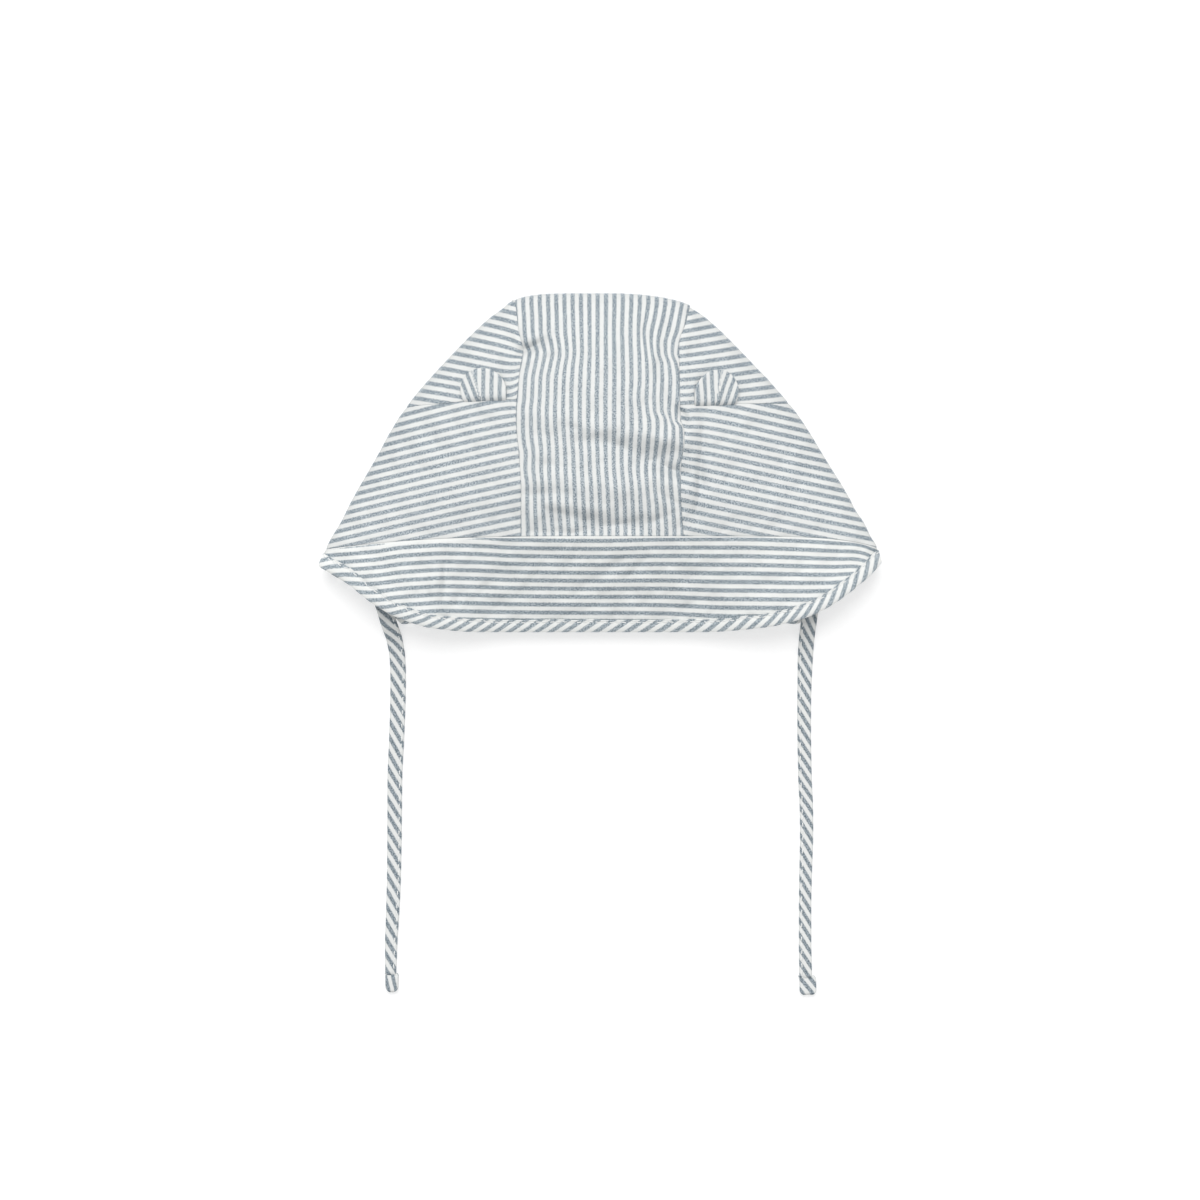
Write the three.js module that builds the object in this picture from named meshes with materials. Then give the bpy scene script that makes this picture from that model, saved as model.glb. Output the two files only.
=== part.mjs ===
// A baby's sun hat of striped cotton, laid on its back on a flat surface with the front brim
// uppermost. Millimetres, +Z up. The top of the crown points to +Y and the two ties run to -Y.
// The origin is on the surface, under the middle of the hat without its ties.
//
// The crown is a centre panel that runs from the front over the top to the back, and on each
// side an upper and a lower panel that wrap round the fold at the hat's edge. The rim carries
// the front brim, the neck flap under it, and one bias binding round both. An ear stands in
// each seam between the side panels, and a tie is sewn on at each corner of the neck flap.
import * as THREE from "three";

// Driving sizes. Lengths in Y are as laid flat, seen from above.
const HAT_WIDTH = 259; // across the rim's two corners
const CROWN_LENGTH = 113; // top fold to the middle of the brim seam
const BRIM_DEPTH = 44; // brim seam to the brim's bound edge
const CORNER_DROP = 11.8; // the rim's corners lie this far below the middle of the brim seam
const CENTRE_PANEL_WIDTH = 75;
const CLOTH = 1.5; // the wall of double cloth
const SEAM_GAP = 0.3; // clearance between pieces that are sewn together

const FOLD_SPREAD = 7; // width of the round fold at the hat's edge
const FOLD_HEIGHT = 4.2; // middle of that fold above the surface, round the crown
const CORNER_LIFT = 2.4; // extra height of the fold at the rim's corners
const FOLD_SWELL = 4; // rise of the front cloth just inside the fold
const CROWN_SWELL = 20; // further rise of the front cloth at its highest

const BINDING_WIDTH = 6.5;
const BINDING_WALL = 0.7;
const BINDING_EASE = 0.25; // clearance between the binding and each face of the cloth in it
const BINDING_BITE = 4.6; // how far the cloth reaches into the binding
const BINDING_ROUNDING = 0.55; // of half its thickness, at its outer edge

const EAR_WIDTH = 19.6;
const EAR_HEIGHT = 13.2;
const EAR_CLOTH = 1.6;
const EAR_INSET = 15; // middle of each ear from the seam beside the centre panel
const EAR_TUCK = 0.8; // height of the pleat in each ear
const EAR_SPRING = 1.2; // how far the top of each ear stands off the panel

// Each ear leans by some degrees. Its pleat starts at a share of its half width from its middle,
// moves by a share of it on the way up, and faces left (-1) or right (1).
const EARS = {
  left: { lean: -3.5, tuck: -0.25, tuckSlope: -0.35, way: -1 },
  right: { lean: 2, tuck: 0.06, tuckSlope: 0.02, way: 1 },
};
const EAR_OUTLINE = { shoulder: 0.25, roundness: 2.2, bulge: 0.05 };
const PLEAT = { steep: 0.04, soft: 0.22, fade: 0.7 };

const TIE_WIDTH = 6.3;
const TIE_THICKNESS = 1.8;
const TIE_END_LENGTH = 9.2; // the tape folded back on itself at the free end
const TIE_END_THICKNESS = 3;
const TIE_END_CORNER = 1.2;
const TIE_END_BEVEL = 0.28 * TIE_END_THICKNESS;
const TIE_ROUNDING = { side: 0.4, face: 0.88 }; // flat shares of a tie's sides and faces

const STRIPE_BLUE = new THREE.Color(0x9aa8b2);
const CLOTH_ROUGHNESS = 0.9;

// Sizes that follow from those.
const HALF_WIDTH = HAT_WIDTH / 2;
const PANEL_HALF = CENTRE_PANEL_WIDTH / 2;
const TOP_Y = (CROWN_LENGTH + BRIM_DEPTH) / 2;
const SEAM_Y = TOP_Y - CROWN_LENGTH;
const BRIM_EDGE_Y = SEAM_Y - BRIM_DEPTH;
const CORNER_Y = SEAM_Y - CORNER_DROP;
const BINDING_THICKNESS = CLOTH + 2 * (BINDING_EASE + BINDING_WALL);

// The tie stays on the binding for the first of these lengths, and is down by the second.
const TIE_ON_BINDING = 1.5 * TIE_WIDTH;
const TIE_LANDING = 3.2 * TIE_WIDTH;

// The top fold curves down towards the centre panel's seams, by a length and a power.
const TOP_CORNERS = {
  left: { drop: 3.5, power: 4.8 },
  right: { drop: 6, power: 3.3 },
};
const TOP_CORNER_REACH = 1.1; // the curve goes on to this share of the centre panel's half width
const TIP_DROP = 2; // the side panels begin this far below the top fold's corners

// The outline of the crown: down from the top fold as a share of CROWN_LENGTH, and out from the
// centre line as a share of half the hat's width.
const CROWN_OUTLINE = {
  left: [
    { down: 0.037, out: 0.31 },
    { down: 0.07, out: 0.357 },
    { down: 0.111, out: 0.407 },
    { down: 0.275, out: 0.549 },
    { down: 0.439, out: 0.674 },
    { down: 0.521, out: 0.724 },
    { down: 0.685, out: 0.806 },
    { down: 0.849, out: 0.888 },
    { down: 1.105, out: 1 },
  ],
  right: [
    { down: 0.037, out: 0.3 },
    { down: 0.07, out: 0.335 },
    { down: 0.111, out: 0.385 },
    { down: 0.275, out: 0.532 },
    { down: 0.439, out: 0.664 },
    { down: 0.521, out: 0.717 },
    { down: 0.685, out: 0.806 },
    { down: 0.849, out: 0.892 },
    { down: 1.105, out: 1 },
  ],
};

// The seams beside the centre panel, as shares of half its width. They weave a little, because
// the cloth is eased into them.
const SEAMS = {
  left: [
    { down: 0.03, out: 1.03 },
    { down: 0.16, out: 0.995 },
    { down: 0.25, out: 0.94 },
    { down: 0.33, out: 0.975 },
    { down: 0.52, out: 1.02 },
    { down: 0.68, out: 0.983 },
    { down: 0.8, out: 0.96 },
    { down: 1.05, out: 0.968 },
  ],
  right: [
    { down: 0.05, out: 1.07 },
    { down: 0.13, out: 1.045 },
    { down: 0.22, out: 0.965 },
    { down: 0.44, out: 0.995 },
    { down: 0.61, out: 1.03 },
    { down: 0.7, out: 0.99 },
    { down: 0.8, out: 0.98 },
    { down: 1.05, out: 1.03 },
  ],
};

// Where the ear seam and the brim seam lie at the centre panel and at the fold, as shares of
// CROWN_LENGTH down from the top fold. The brim seam bends by the given power on its way out.
const SEAM_LINES = {
  left: { earInner: 0.432, earFold: 0.467, rimFold: 1.052, rimPower: 3 },
  right: { earInner: 0.46, earFold: 0.444, rimFold: 1.046, rimPower: 8 },
};

// Height of the front cloth down the centre line, as a share of CROWN_SWELL, and how flat the
// arch across the hat is there.
const CROWN_PROFILE = [
  { down: 0, swell: 0 },
  { down: 0.12, swell: 0.42 },
  { down: 0.28, swell: 0.76 },
  { down: 0.46, swell: 0.95 },
  { down: 0.66, swell: 1 },
  { down: 0.84, swell: 0.9 },
  { down: 1, swell: 0.66 },
  { down: 1.105, swell: 0.6 },
];
const ARCH_POWER = 0.85;

// Soft folds in the front of the crown. Places are shares of the centre panel's half width out
// from the centre line and of CROWN_LENGTH down; reach and breadth are shares of the panel's
// width, turn is in degrees from the X axis, and lift is a share of CROWN_SWELL.
const SOFT_FOLDS = [
  { out: 0.0, down: 0.525, reach: 0.5, breadth: 0.06, turn: -8, lift: 0.06 },
  { out: 0.15, down: 0.615, reach: 0.46, breadth: 0.055, turn: -12, lift: -0.075 },
  { out: -0.1, down: 0.8, reach: 0.5, breadth: 0.08, turn: -3, lift: 0.07 },
  { out: 0.05, down: 0.94, reach: 0.55, breadth: 0.06, turn: -2, lift: -0.07 },
  { out: -0.88, down: 0.245, reach: 0.16, breadth: 0.05, turn: -20, lift: -0.07 },
  { out: -0.78, down: 0.3, reach: 0.16, breadth: 0.06, turn: -10, lift: 0.04 },
  { out: 0.78, down: 0.2, reach: 0.14, breadth: 0.12, turn: 75, lift: 0.05 },
  { out: 0.86, down: 0.72, reach: 0.16, breadth: 0.05, turn: -28, lift: -0.07 },
  { out: 0.85, down: 0.6, reach: 0.15, breadth: 0.07, turn: -30, lift: 0.05 },
  { out: 1.24, down: 0.72, reach: 0.42, breadth: 0.055, turn: 88, lift: -0.05 },
];

// The bound edges: across as a share of half the rim's width, and drop as a share of the way
// from the corners down to the brim's lowest point.
const BRIM_EDGE = {
  left: [
    { across: 0, drop: 1 },
    { across: 0.43, drop: 1 },
    { across: 0.594, drop: 0.945 },
    { across: 0.719, drop: 0.786 },
    { across: 0.8135, drop: 0.566 },
    { across: 0.936, drop: 0.157 },
    { across: 1, drop: 0 },
  ],
  right: [
    { across: 0, drop: 1 },
    { across: 0.363, drop: 0.975 },
    { across: 0.583, drop: 0.9 },
    { across: 0.728, drop: 0.757 },
    { across: 0.8, drop: 0.624 },
    { across: 0.9455, drop: 0.214 },
    { across: 1, drop: 0 },
  ],
};
const FLAP_EDGE = [
  { across: 0, drop: 0.86 },
  { across: 0.62, drop: 0.86 },
  { across: 0.712, drop: 0.835 },
  { across: 0.76, drop: 0.7 },
  { across: 0.88, drop: 0.35 },
  { across: 1, drop: 0 },
];

// Height of the middle of the brim's cloth along its bound edge, as a share of CROWN_SWELL
// above the fold at the corners.
const BRIM_LIFT = [
  { across: 0, lift: 0.23 },
  { across: 0.45, lift: 0.28 },
  { across: 0.72, lift: 0.38 },
  { across: 0.88, lift: 0.32 },
  { across: 1, lift: 0.2 },
];

// Each tie's line on the surface, from its sewn end on the neck flap's binding to its fold.
const TIE_ROUTES = {
  left: [
    [-100.6, -64.6], [-99.2, -69], [-97.6, -74.4], [-95.2, -82], [-93.8, -91], [-93.5, -100],
    [-93.6, -110], [-94.2, -128], [-95, -146], [-95.1, -160], [-95.2, -175], [-95.5, -193.5],
    [-96.1, -210], [-96.7, -223], [-96.9, -236.2],
  ],
  right: [
    [98.5, -63.4], [97.4, -68], [96.5, -74], [95.7, -82], [95.1, -91], [94.8, -101],
    [94.6, -112], [94.6, -124], [95, -147], [95.6, -160], [95.7, -172], [95.3, -189],
    [95, -206], [95, -222], [95.3, -237.4],
  ],
};
const TIE_END_WIDTHS = { left: 6, right: 7.3 };

const clamp = THREE.MathUtils.clamp;
const lerp = THREE.MathUtils.lerp;
const sideOf = (x) => (x < 0 ? "left" : "right");
const mirrorOf = (side) => (side === "left" ? -1 : 1);
const STEP = 1e-3; // small step of a surface's parameters, for its slopes

// A smooth curve through two columns of a table, which never overshoots its rows.
function through(rows, given, wanted) {
  const xs = rows.map((row) => row[given]);
  const ys = rows.map((row) => row[wanted]);
  const rates = xs.slice(1).map((x, i) => (ys[i + 1] - ys[i]) / (x - xs[i]));
  const slopes = xs.map((x, i) => {
    const before = rates[Math.max(i - 1, 0)];
    const after = rates[Math.min(i, rates.length - 1)];
    return before * after <= 0 ? 0 : (2 * before * after) / (before + after);
  });
  return (x) => {
    const at = clamp(x, xs[0], xs[xs.length - 1]);
    const i = Math.max(0, xs.findIndex((end, k) => k > 0 && at <= end) - 1);
    const span = xs[i + 1] - xs[i];
    const t = (at - xs[i]) / span;
    const low = (1 + 2 * t) * (1 - t) ** 2 * ys[i] + t * (1 - t) ** 2 * span * slopes[i];
    const high = t * t * (3 - 2 * t) * ys[i + 1] - t * t * (1 - t) * span * slopes[i + 1];
    return low + high;
  };
}

const bothSides = (tables, given, wanted) => ({
  left: through(tables.left, given, wanted),
  right: through(tables.right, given, wanted),
});
const outlineOut = bothSides(CROWN_OUTLINE, "down", "out");
const seamOut = bothSides(SEAMS, "down", "out");
const swellDown = through(CROWN_PROFILE, "down", "swell");
const brimDrop = bothSides(BRIM_EDGE, "across", "drop");
const flapDrop = through(FLAP_EDGE, "across", "drop");
const brimLift = through(BRIM_LIFT, "across", "lift");

const downAt = (y) => (TOP_Y - y) / CROWN_LENGTH;
const yAt = (down) => TOP_Y - down * CROWN_LENGTH;
const seamX = (side, y) => PANEL_HALF * seamOut[side](downAt(y));

// Half the width of the cloth's middle surface at a height, and how steep the outline is there.
const halfWidth = (side, y) => HALF_WIDTH * outlineOut[side](downAt(y)) - CLOTH / 2;
function outlineCosine(side, y) {
  const step = 0.5;
  const slope = (halfWidth(side, y - step) - halfWidth(side, y + step)) / (2 * step);
  return 1 / Math.hypot(1, slope);
}
function topEdgeY(x) {
  const { drop, power } = TOP_CORNERS[sideOf(x)];
  const out = Math.min(Math.abs(x / PANEL_HALF), TOP_CORNER_REACH);
  return TOP_Y - CLOTH / 2 - drop * out ** power;
}

// The share of its full height that the cloth has reached this far inside the folded edge.
function foldShare(distance) {
  const left = 1 - clamp(distance / FOLD_SPREAD, 0, 1);
  return Math.sqrt(1 - left * left);
}
function insideEdge(x, y) {
  const side = sideOf(x);
  const inside = (halfWidth(side, y) - Math.abs(x)) * outlineCosine(side, y);
  return Math.min(inside, topEdgeY(x) - y);
}
const foldHeight = (y) =>
  FOLD_HEIGHT + CORNER_LIFT * THREE.MathUtils.smoothstep(downAt(y), 0.7, 1.05);

// Lift of the soft folds at a point of the front cloth.
function softFolds(x, y) {
  return SOFT_FOLDS.reduce((sum, fold) => {
    const turn = THREE.MathUtils.degToRad(fold.turn);
    const dx = x - fold.out * PANEL_HALF;
    const dy = y - yAt(fold.down);
    const along = (dx * Math.cos(turn) + dy * Math.sin(turn)) / CENTRE_PANEL_WIDTH / fold.reach;
    const away = (dy * Math.cos(turn) - dx * Math.sin(turn)) / CENTRE_PANEL_WIDTH / fold.breadth;
    return sum + fold.lift * CROWN_SWELL * Math.exp(-along * along - away * away);
  }, 0);
}

// How far the middle of the crown's cloth lies from the middle of the fold, inside the fold:
// up on the front, and down on the back, which lies on the surface.
function frontRise(x, y) {
  const across = clamp(Math.abs(x) / halfWidth(sideOf(x), y), 0, 1);
  const arch = (1 - across * across) ** ARCH_POWER;
  return FOLD_SWELL + CROWN_SWELL * swellDown(downAt(y)) * arch + softFolds(x, y);
}
const backRise = (x, y) => CLOTH / 2 - foldHeight(y);
function crownPoint(x, y, front) {
  const rise = front ? frontRise(x, y) : backRise(x, y);
  return new THREE.Vector3(x, y, foldHeight(y) + rise * foldShare(insideEdge(x, y)));
}

// Outward normal of the crown's cloth. It is level at the folded edge.
function crownNormal(x, y, front) {
  const slopeOf = (height) => {
    const step = 0.02;
    const byX = height(x + step, y) - height(x - step, y);
    const byY = height(x, y + step) - height(x, y - step);
    return new THREE.Vector3(byX, byY, 0).divideScalar(2 * step);
  };
  const rise = front ? frontRise : backRise;
  const distance = insideEdge(x, y);
  const share = foldShare(distance);
  const turn = 1 - clamp(distance / FOLD_SPREAD, 0, 1);
  const slope = slopeOf((a, b) => foldHeight(b)).multiplyScalar(share);
  slope.addScaledVector(slopeOf(rise), share * share);
  slope.addScaledVector(slopeOf(insideEdge), (rise(x, y) * turn) / FOLD_SPREAD);
  const normal = new THREE.Vector3(-slope.x, -slope.y, share).normalize();
  return front ? normal : normal.negate();
}

// The brim seam, and the ear seam's height at a distance out.
const RIM_HALF = {
  left: halfWidth("left", yAt(SEAM_LINES.left.rimFold)),
  right: halfWidth("right", yAt(SEAM_LINES.right.rimFold)),
};
function rimY(x) {
  const { rimFold, rimPower } = SEAM_LINES[sideOf(x)];
  const out = clamp(Math.abs(x) / RIM_HALF[sideOf(x)], 0, 1);
  return yAt(lerp(1, rimFold, out ** rimPower));
}
function earSeamY(x) {
  const { earInner, earFold } = SEAM_LINES[sideOf(x)];
  const out = (Math.abs(x) - PANEL_HALF) / (halfWidth(sideOf(x), yAt(earFold)) - PANEL_HALF);
  return yAt(lerp(earInner, earFold, out));
}

// A point of the rim's cloth. The angle goes round the rim: 0 is the middle of the front brim, a
// quarter turn is the right corner, and a half turn is the middle of the neck flap. along runs
// from 0 at the seam to 1 at the bound edge.
const EDGE_HALF = HALF_WIDTH - BINDING_THICKNESS / 2;
function rimLine(angle) {
  const across = Math.sin(angle);
  const front = Math.cos(angle) > 0;
  const side = sideOf(across);
  const out = Math.abs(across);
  const seamX = across * RIM_HALF[side];
  const seam = crownPoint(seamX, rimY(seamX), front);
  const drop = front ? brimDrop[side](out) : flapDrop(out);
  const share = foldShare(EDGE_HALF * (1 - out) * outlineCosine(side, CORNER_Y));
  const base = foldHeight(CORNER_Y);
  const rise = front ? CROWN_SWELL * brimLift(out) : BINDING_THICKNESS / 2 - base;
  const edgeY = lerp(CORNER_Y, BRIM_EDGE_Y, drop);
  const edge = new THREE.Vector3(across * EDGE_HALF, edgeY, base + rise * share);
  return { seam, edge, front };
}
const SHORTEST_RISE = 0.1; // share of the flap
const LEVEL_STRETCH = 1.15; // in widths of the binding
function rimPoint(angle, along) {
  const { seam, edge, front } = rimLine(angle);
  const point = seam.clone().lerp(edge, along);
  if (front) return point;
  // The neck flap comes up to the middle of its binding before it reaches it.
  const level = Math.max(SHORTEST_RISE, 1 - (LEVEL_STRETCH * BINDING_WIDTH) / seam.distanceTo(edge));
  point.z = lerp(seam.z, edge.z, THREE.MathUtils.smoothstep(along, 0, level));
  return point;
}

// Outward normal of the rim's cloth, by small steps. At the seam it is the crown's, so that the
// edges of the two cloths stay parallel.
const SEAM_MITRE = 0.02; // this share of the rim's cloth, from the seam, takes the crown's normal
function rimNormal(angle, along) {
  if (along < SEAM_MITRE) {
    const { seam, front } = rimLine(angle);
    return crownNormal(seam.x, seam.y, front);
  }
  const round = rimPoint(angle + STEP, along).sub(rimPoint(angle - STEP, along));
  const outward = rimPoint(angle, along).sub(rimPoint(angle, along - STEP));
  return outward.cross(round).normalize();
}

// A closed solid from rings of points, each ring joined to the next. The ends are capped, or
// the last ring is joined to the first. The faces are turned outwards.
function solidFromRings(rings, closed = false) {
  const size = rings[0].length;
  const faces = [];
  const joins = closed ? rings.length : rings.length - 1;
  for (let i = 0; i < joins; i++) {
    const here = i * size;
    const next = ((i + 1) % rings.length) * size;
    for (let k = 0; k < size; k++) {
      const after = (k + 1) % size;
      faces.push([here + k, here + after, next + after], [here + k, next + after, next + k]);
    }
  }
  if (!closed) {
    const last = (rings.length - 1) * size;
    for (const [a, b, c] of capFaces(size)) {
      faces.push([c, b, a], [last + a, last + b, last + c]);
    }
  }
  return outwardGeometry(rings.flat(), faces);
}

// Triangles across a ring, between points met from both of its sides: right for a ring that
// runs out along one side of a strip and back along the other.
function capFaces(size) {
  const faces = [];
  for (let low = 0, high = size - 1; low + 1 < high; low++, high--) {
    faces.push([low, low + 1, high]);
    if (low + 1 < high - 1) faces.push([low + 1, high - 1, high]);
  }
  return faces;
}

function outwardGeometry(points, faces) {
  const volume = faces.reduce(
    (sum, [a, b, c]) => sum + points[a].dot(points[b].clone().cross(points[c])),
    0,
  );
  const turned = volume < 0 ? faces.map(([a, b, c]) => [a, c, b]) : faces;
  const geometry = new THREE.BufferGeometry().setFromPoints(points);
  geometry.setIndex(turned.flat());
  geometry.computeVertexNormals();
  return geometry;
}

// A wall of cloth. middleAt gives a point of its middle, the normal there and its thickness.
// Each ring runs out along one face of the wall and back along the other.
function clothWall(middleAt, us, vs) {
  const rings = vs.map((v) => {
    const middles = us.map((u) => middleAt(u, v));
    const face = (way) => middles.map(({ point, normal, thickness }) =>
      point.clone().addScaledVector(normal, (way * thickness) / 2));
    return [...face(1), ...face(-1).reverse()];
  });
  return solidFromRings(rings);
}

const evenly = (from, to, steps) =>
  Array.from({ length: steps + 1 }, (_, i) => lerp(from, to, i / steps));

const group = new THREE.Group();
group.name = "sun_hat";
function addPiece(name, geometry) {
  const material = new THREE.MeshStandardMaterial({
    color: STRIPE_BLUE,
    roughness: CLOTH_ROUGHNESS,
    metalness: 0,
  });
  const mesh = new THREE.Mesh(geometry, material);
  mesh.name = name;
  group.add(mesh);
}

// Rows of cloth up each seam beside the centre panel, as Y: from the brim seam to the ear seam,
// and on to the tip of the upper side panel. The pieces on both sides of a seam share them.
const RIM_BEND_POWER = 3; // how soon, going up, the rows lose the brim seam's bend
const LOWER_ROWS = 11;
const UPPER_ROWS = 8;
function seamRows(side) {
  const mirror = mirrorOf(side);
  const ear = yAt(SEAM_LINES[side].earInner);
  const rim = rimY(mirror * seamX(side, SEAM_Y)) + SEAM_GAP / 2;
  const corner = topEdgeY(mirror * seamX(side, TOP_Y));
  const lower = evenly(rim, ear, LOWER_ROWS);
  const upper = evenly(ear, corner - TIP_DROP, UPPER_ROWS);
  return { lower, upper, corner };
}

// The centre panel, from the brim seam up the front, over the top fold and down the back.
// A row is given by its number, from 0 at the brim seam to the number of rows at the fold.
const LAST_ROWS = [0.55, 0.9]; // shares of the way from the side panels' tips to the top fold
const PANEL_COLUMNS = 14;
function centrePanel() {
  const rows = {};
  for (const side of ["left", "right"]) {
    const { lower, upper, corner } = seamRows(side);
    const tip = upper[UPPER_ROWS];
    rows[side] = [...lower, ...upper.slice(1), ...LAST_ROWS.map((s) => lerp(tip, corner, s)), corner];
  }
  // Share of the way up from the brim seam to the top fold, and the panel's half width there.
  const rowAt = (side, row) => {
    const mirror = mirrorOf(side);
    const y = rows[side][row];
    const half = seamX(side, y);
    const rim = rimY(mirror * half) + SEAM_GAP / 2;
    return { half: half - SEAM_GAP / 2, share: (y - rim) / (topEdgeY(mirror * half) - rim) };
  };
  const middleAt = (u, { row, front }) => {
    const left = rowAt("left", row);
    const right = rowAt("right", row);
    const x = u * (u < 0 ? left : right).half;
    const share = lerp(left.share, right.share, (1 + u) / 2);
    const y = Math.min(lerp(rimY(x) + SEAM_GAP / 2, topEdgeY(x), share), topEdgeY(x));
    return { point: crownPoint(x, y, front), normal: crownNormal(x, y, front), thickness: CLOTH };
  };
  const upTheFront = rows.left.map((y, row) => ({ row, front: true }));
  const downTheBack = upTheFront.slice(0, -1).reverse().map(({ row }) => ({ row, front: false }));
  return clothWall(middleAt, evenly(-1, 1, PANEL_COLUMNS), [...upTheFront, ...downTheBack]);
}

// Columns of a side panel, from its front seam out to the fold and back: shares of the way out,
// close together in the fold.
const FOLD_STEPS = [0.935, 0.965, 0.99];
const WAY_OUT = [...evenly(0, 0.88, 10), ...FOLD_STEPS, 1];
const WAY_BACK = [...evenly(0, 0.88, 5), ...FOLD_STEPS].reverse();

// A side panel wraps round the fold. Each row runs from its place on the seam beside the centre
// panel to its place on the fold. The lowest rows bend to follow the brim seam, by their share.
const TIP_SHARE = 0.5; // near its tip a side panel's cloth is this share of its width
function sidePanel(side, rows) {
  const mirror = mirrorOf(side);
  const columns = [
    ...WAY_OUT.map((out) => ({ out, front: true })),
    ...WAY_BACK.map((out) => ({ out, front: false })),
  ];
  const middleAt = ({ out, front }, { inner, fold, bend }) => {
    const start = seamX(side, inner) + SEAM_GAP / 2;
    const end = halfWidth(side, fold);
    const x = lerp(start, end, out);
    const straightRim = lerp(rimY(mirror * start), yAt(SEAM_LINES[side].rimFold), out);
    const y = lerp(inner, fold, out) + bend * (rimY(mirror * x) - straightRim);
    const held = mirror * Math.min(x, halfWidth(side, y));
    const thickness = Math.min(CLOTH, TIP_SHARE * (end - start));
    return {
      point: crownPoint(held, y, front),
      normal: crownNormal(held, y, front),
      thickness,
    };
  };
  return clothWall(middleAt, columns, rows);
}

function addSidePanels(side) {
  const { lower, upper } = seamRows(side);
  const { earFold, rimFold } = SEAM_LINES[side];
  const half = SEAM_GAP / 2;
  const ear = yAt(earFold);
  const tipFold = upper[UPPER_ROWS] - TIP_DROP;
  const upperRows = upper.map((inner, i) => ({
    inner: i === 0 ? inner + half : inner,
    fold: lerp(ear + half, tipFold, i / UPPER_ROWS),
    bend: 0,
  }));
  const lowerRows = lower.map((inner, i) => ({
    inner: i === LOWER_ROWS ? inner - half : inner,
    fold: lerp(yAt(rimFold) + half, ear - half, i / LOWER_ROWS),
    bend: (1 - i / LOWER_ROWS) ** RIM_BEND_POWER,
  }));
  addPiece(`side_upper_${side}`, sidePanel(side, upperRows));
  addPiece(`side_lower_${side}`, sidePanel(side, lowerRows));
}

// Stations round a quarter of the rim, as angles: along the cloth, and on round the corner fold.
const CLOTH_STATIONS = [...evenly(0, 0.9, 12), 0.935, 0.965].map(Math.asin);
const CORNER_STATIONS = [0.982, 0.993, 0.9985].map(Math.asin);

// The brim (front) or the neck flap: cloth from the seam into the binding.
function rimCloth(front, rows) {
  const quarter = CLOTH_STATIONS.slice(1);
  const angles = [...quarter.map((angle) => -angle).reverse(), ...CLOTH_STATIONS];
  const middleAt = (angle, v) => {
    const turned = front ? angle : Math.PI - angle;
    const { seam, edge } = rimLine(turned);
    const reach = seam.distanceTo(edge);
    const end = 1 - (BINDING_WIDTH - BINDING_BITE) / reach;
    const along = lerp(SEAM_GAP / 2 / reach, end, v);
    return {
      point: rimPoint(turned, along),
      normal: rimNormal(turned, along),
      thickness: CLOTH,
    };
  };
  return clothWall(middleAt, angles, evenly(0, 1, rows));
}

// The binding: a bias strip folded round the rim's cloth, as one closed loop with a slot.
const NEAR_EDGE = 0.9; // the binding takes the rim cloth's direction at this share of the way out
function edgeBinding() {
  const quarter = [...CLOTH_STATIONS, ...CORNER_STATIONS];
  const toCorner = [...quarter, Math.PI / 2];
  const fromCorner = quarter.slice(1).reverse().map((angle) => Math.PI - angle);
  const halfRound = [...toCorner, ...fromCorner];
  const angles = [...halfRound, ...halfRound.map((angle) => angle + Math.PI)];
  const rings = angles.map((angle) => {
    const { seam, edge } = rimLine(angle);
    const inward = rimPoint(angle, NEAR_EDGE).sub(edge).normalize();
    const normal = rimNormal(angle, NEAR_EDGE);
    // The strip has its full width square to the edge, so it is longer along a slanting line.
    const tangent = rimLine(angle + STEP).edge.sub(rimLine(angle - STEP).edge).normalize();
    const slant = Math.sqrt(1 - tangent.dot(inward) ** 2);
    const width = Math.min(BINDING_WIDTH / slant, seam.distanceTo(edge) - SEAM_GAP);
    return bindingSection(width).map(([back, off]) =>
      edge.clone().addScaledVector(inward, back).addScaledVector(normal, off));
  });
  return solidFromRings(rings, true);
}

// The binding's section: distance back from its outer edge, and height off its middle. The
// cloth goes in between the two lips.
function bindingSection(width) {
  const half = BINDING_THICKNESS / 2;
  const slot = half - BINDING_WALL;
  const bottom = BINDING_WIDTH - BINDING_BITE - BINDING_EASE;
  const shoulder = BINDING_ROUNDING * half;
  return [
    [width, half], [shoulder, half], [0, half - shoulder], [0, shoulder - half],
    [shoulder, -half], [width, -half], [width, -slot], [bottom, -slot],
    [bottom, slot], [width, slot],
  ];
}

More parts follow.
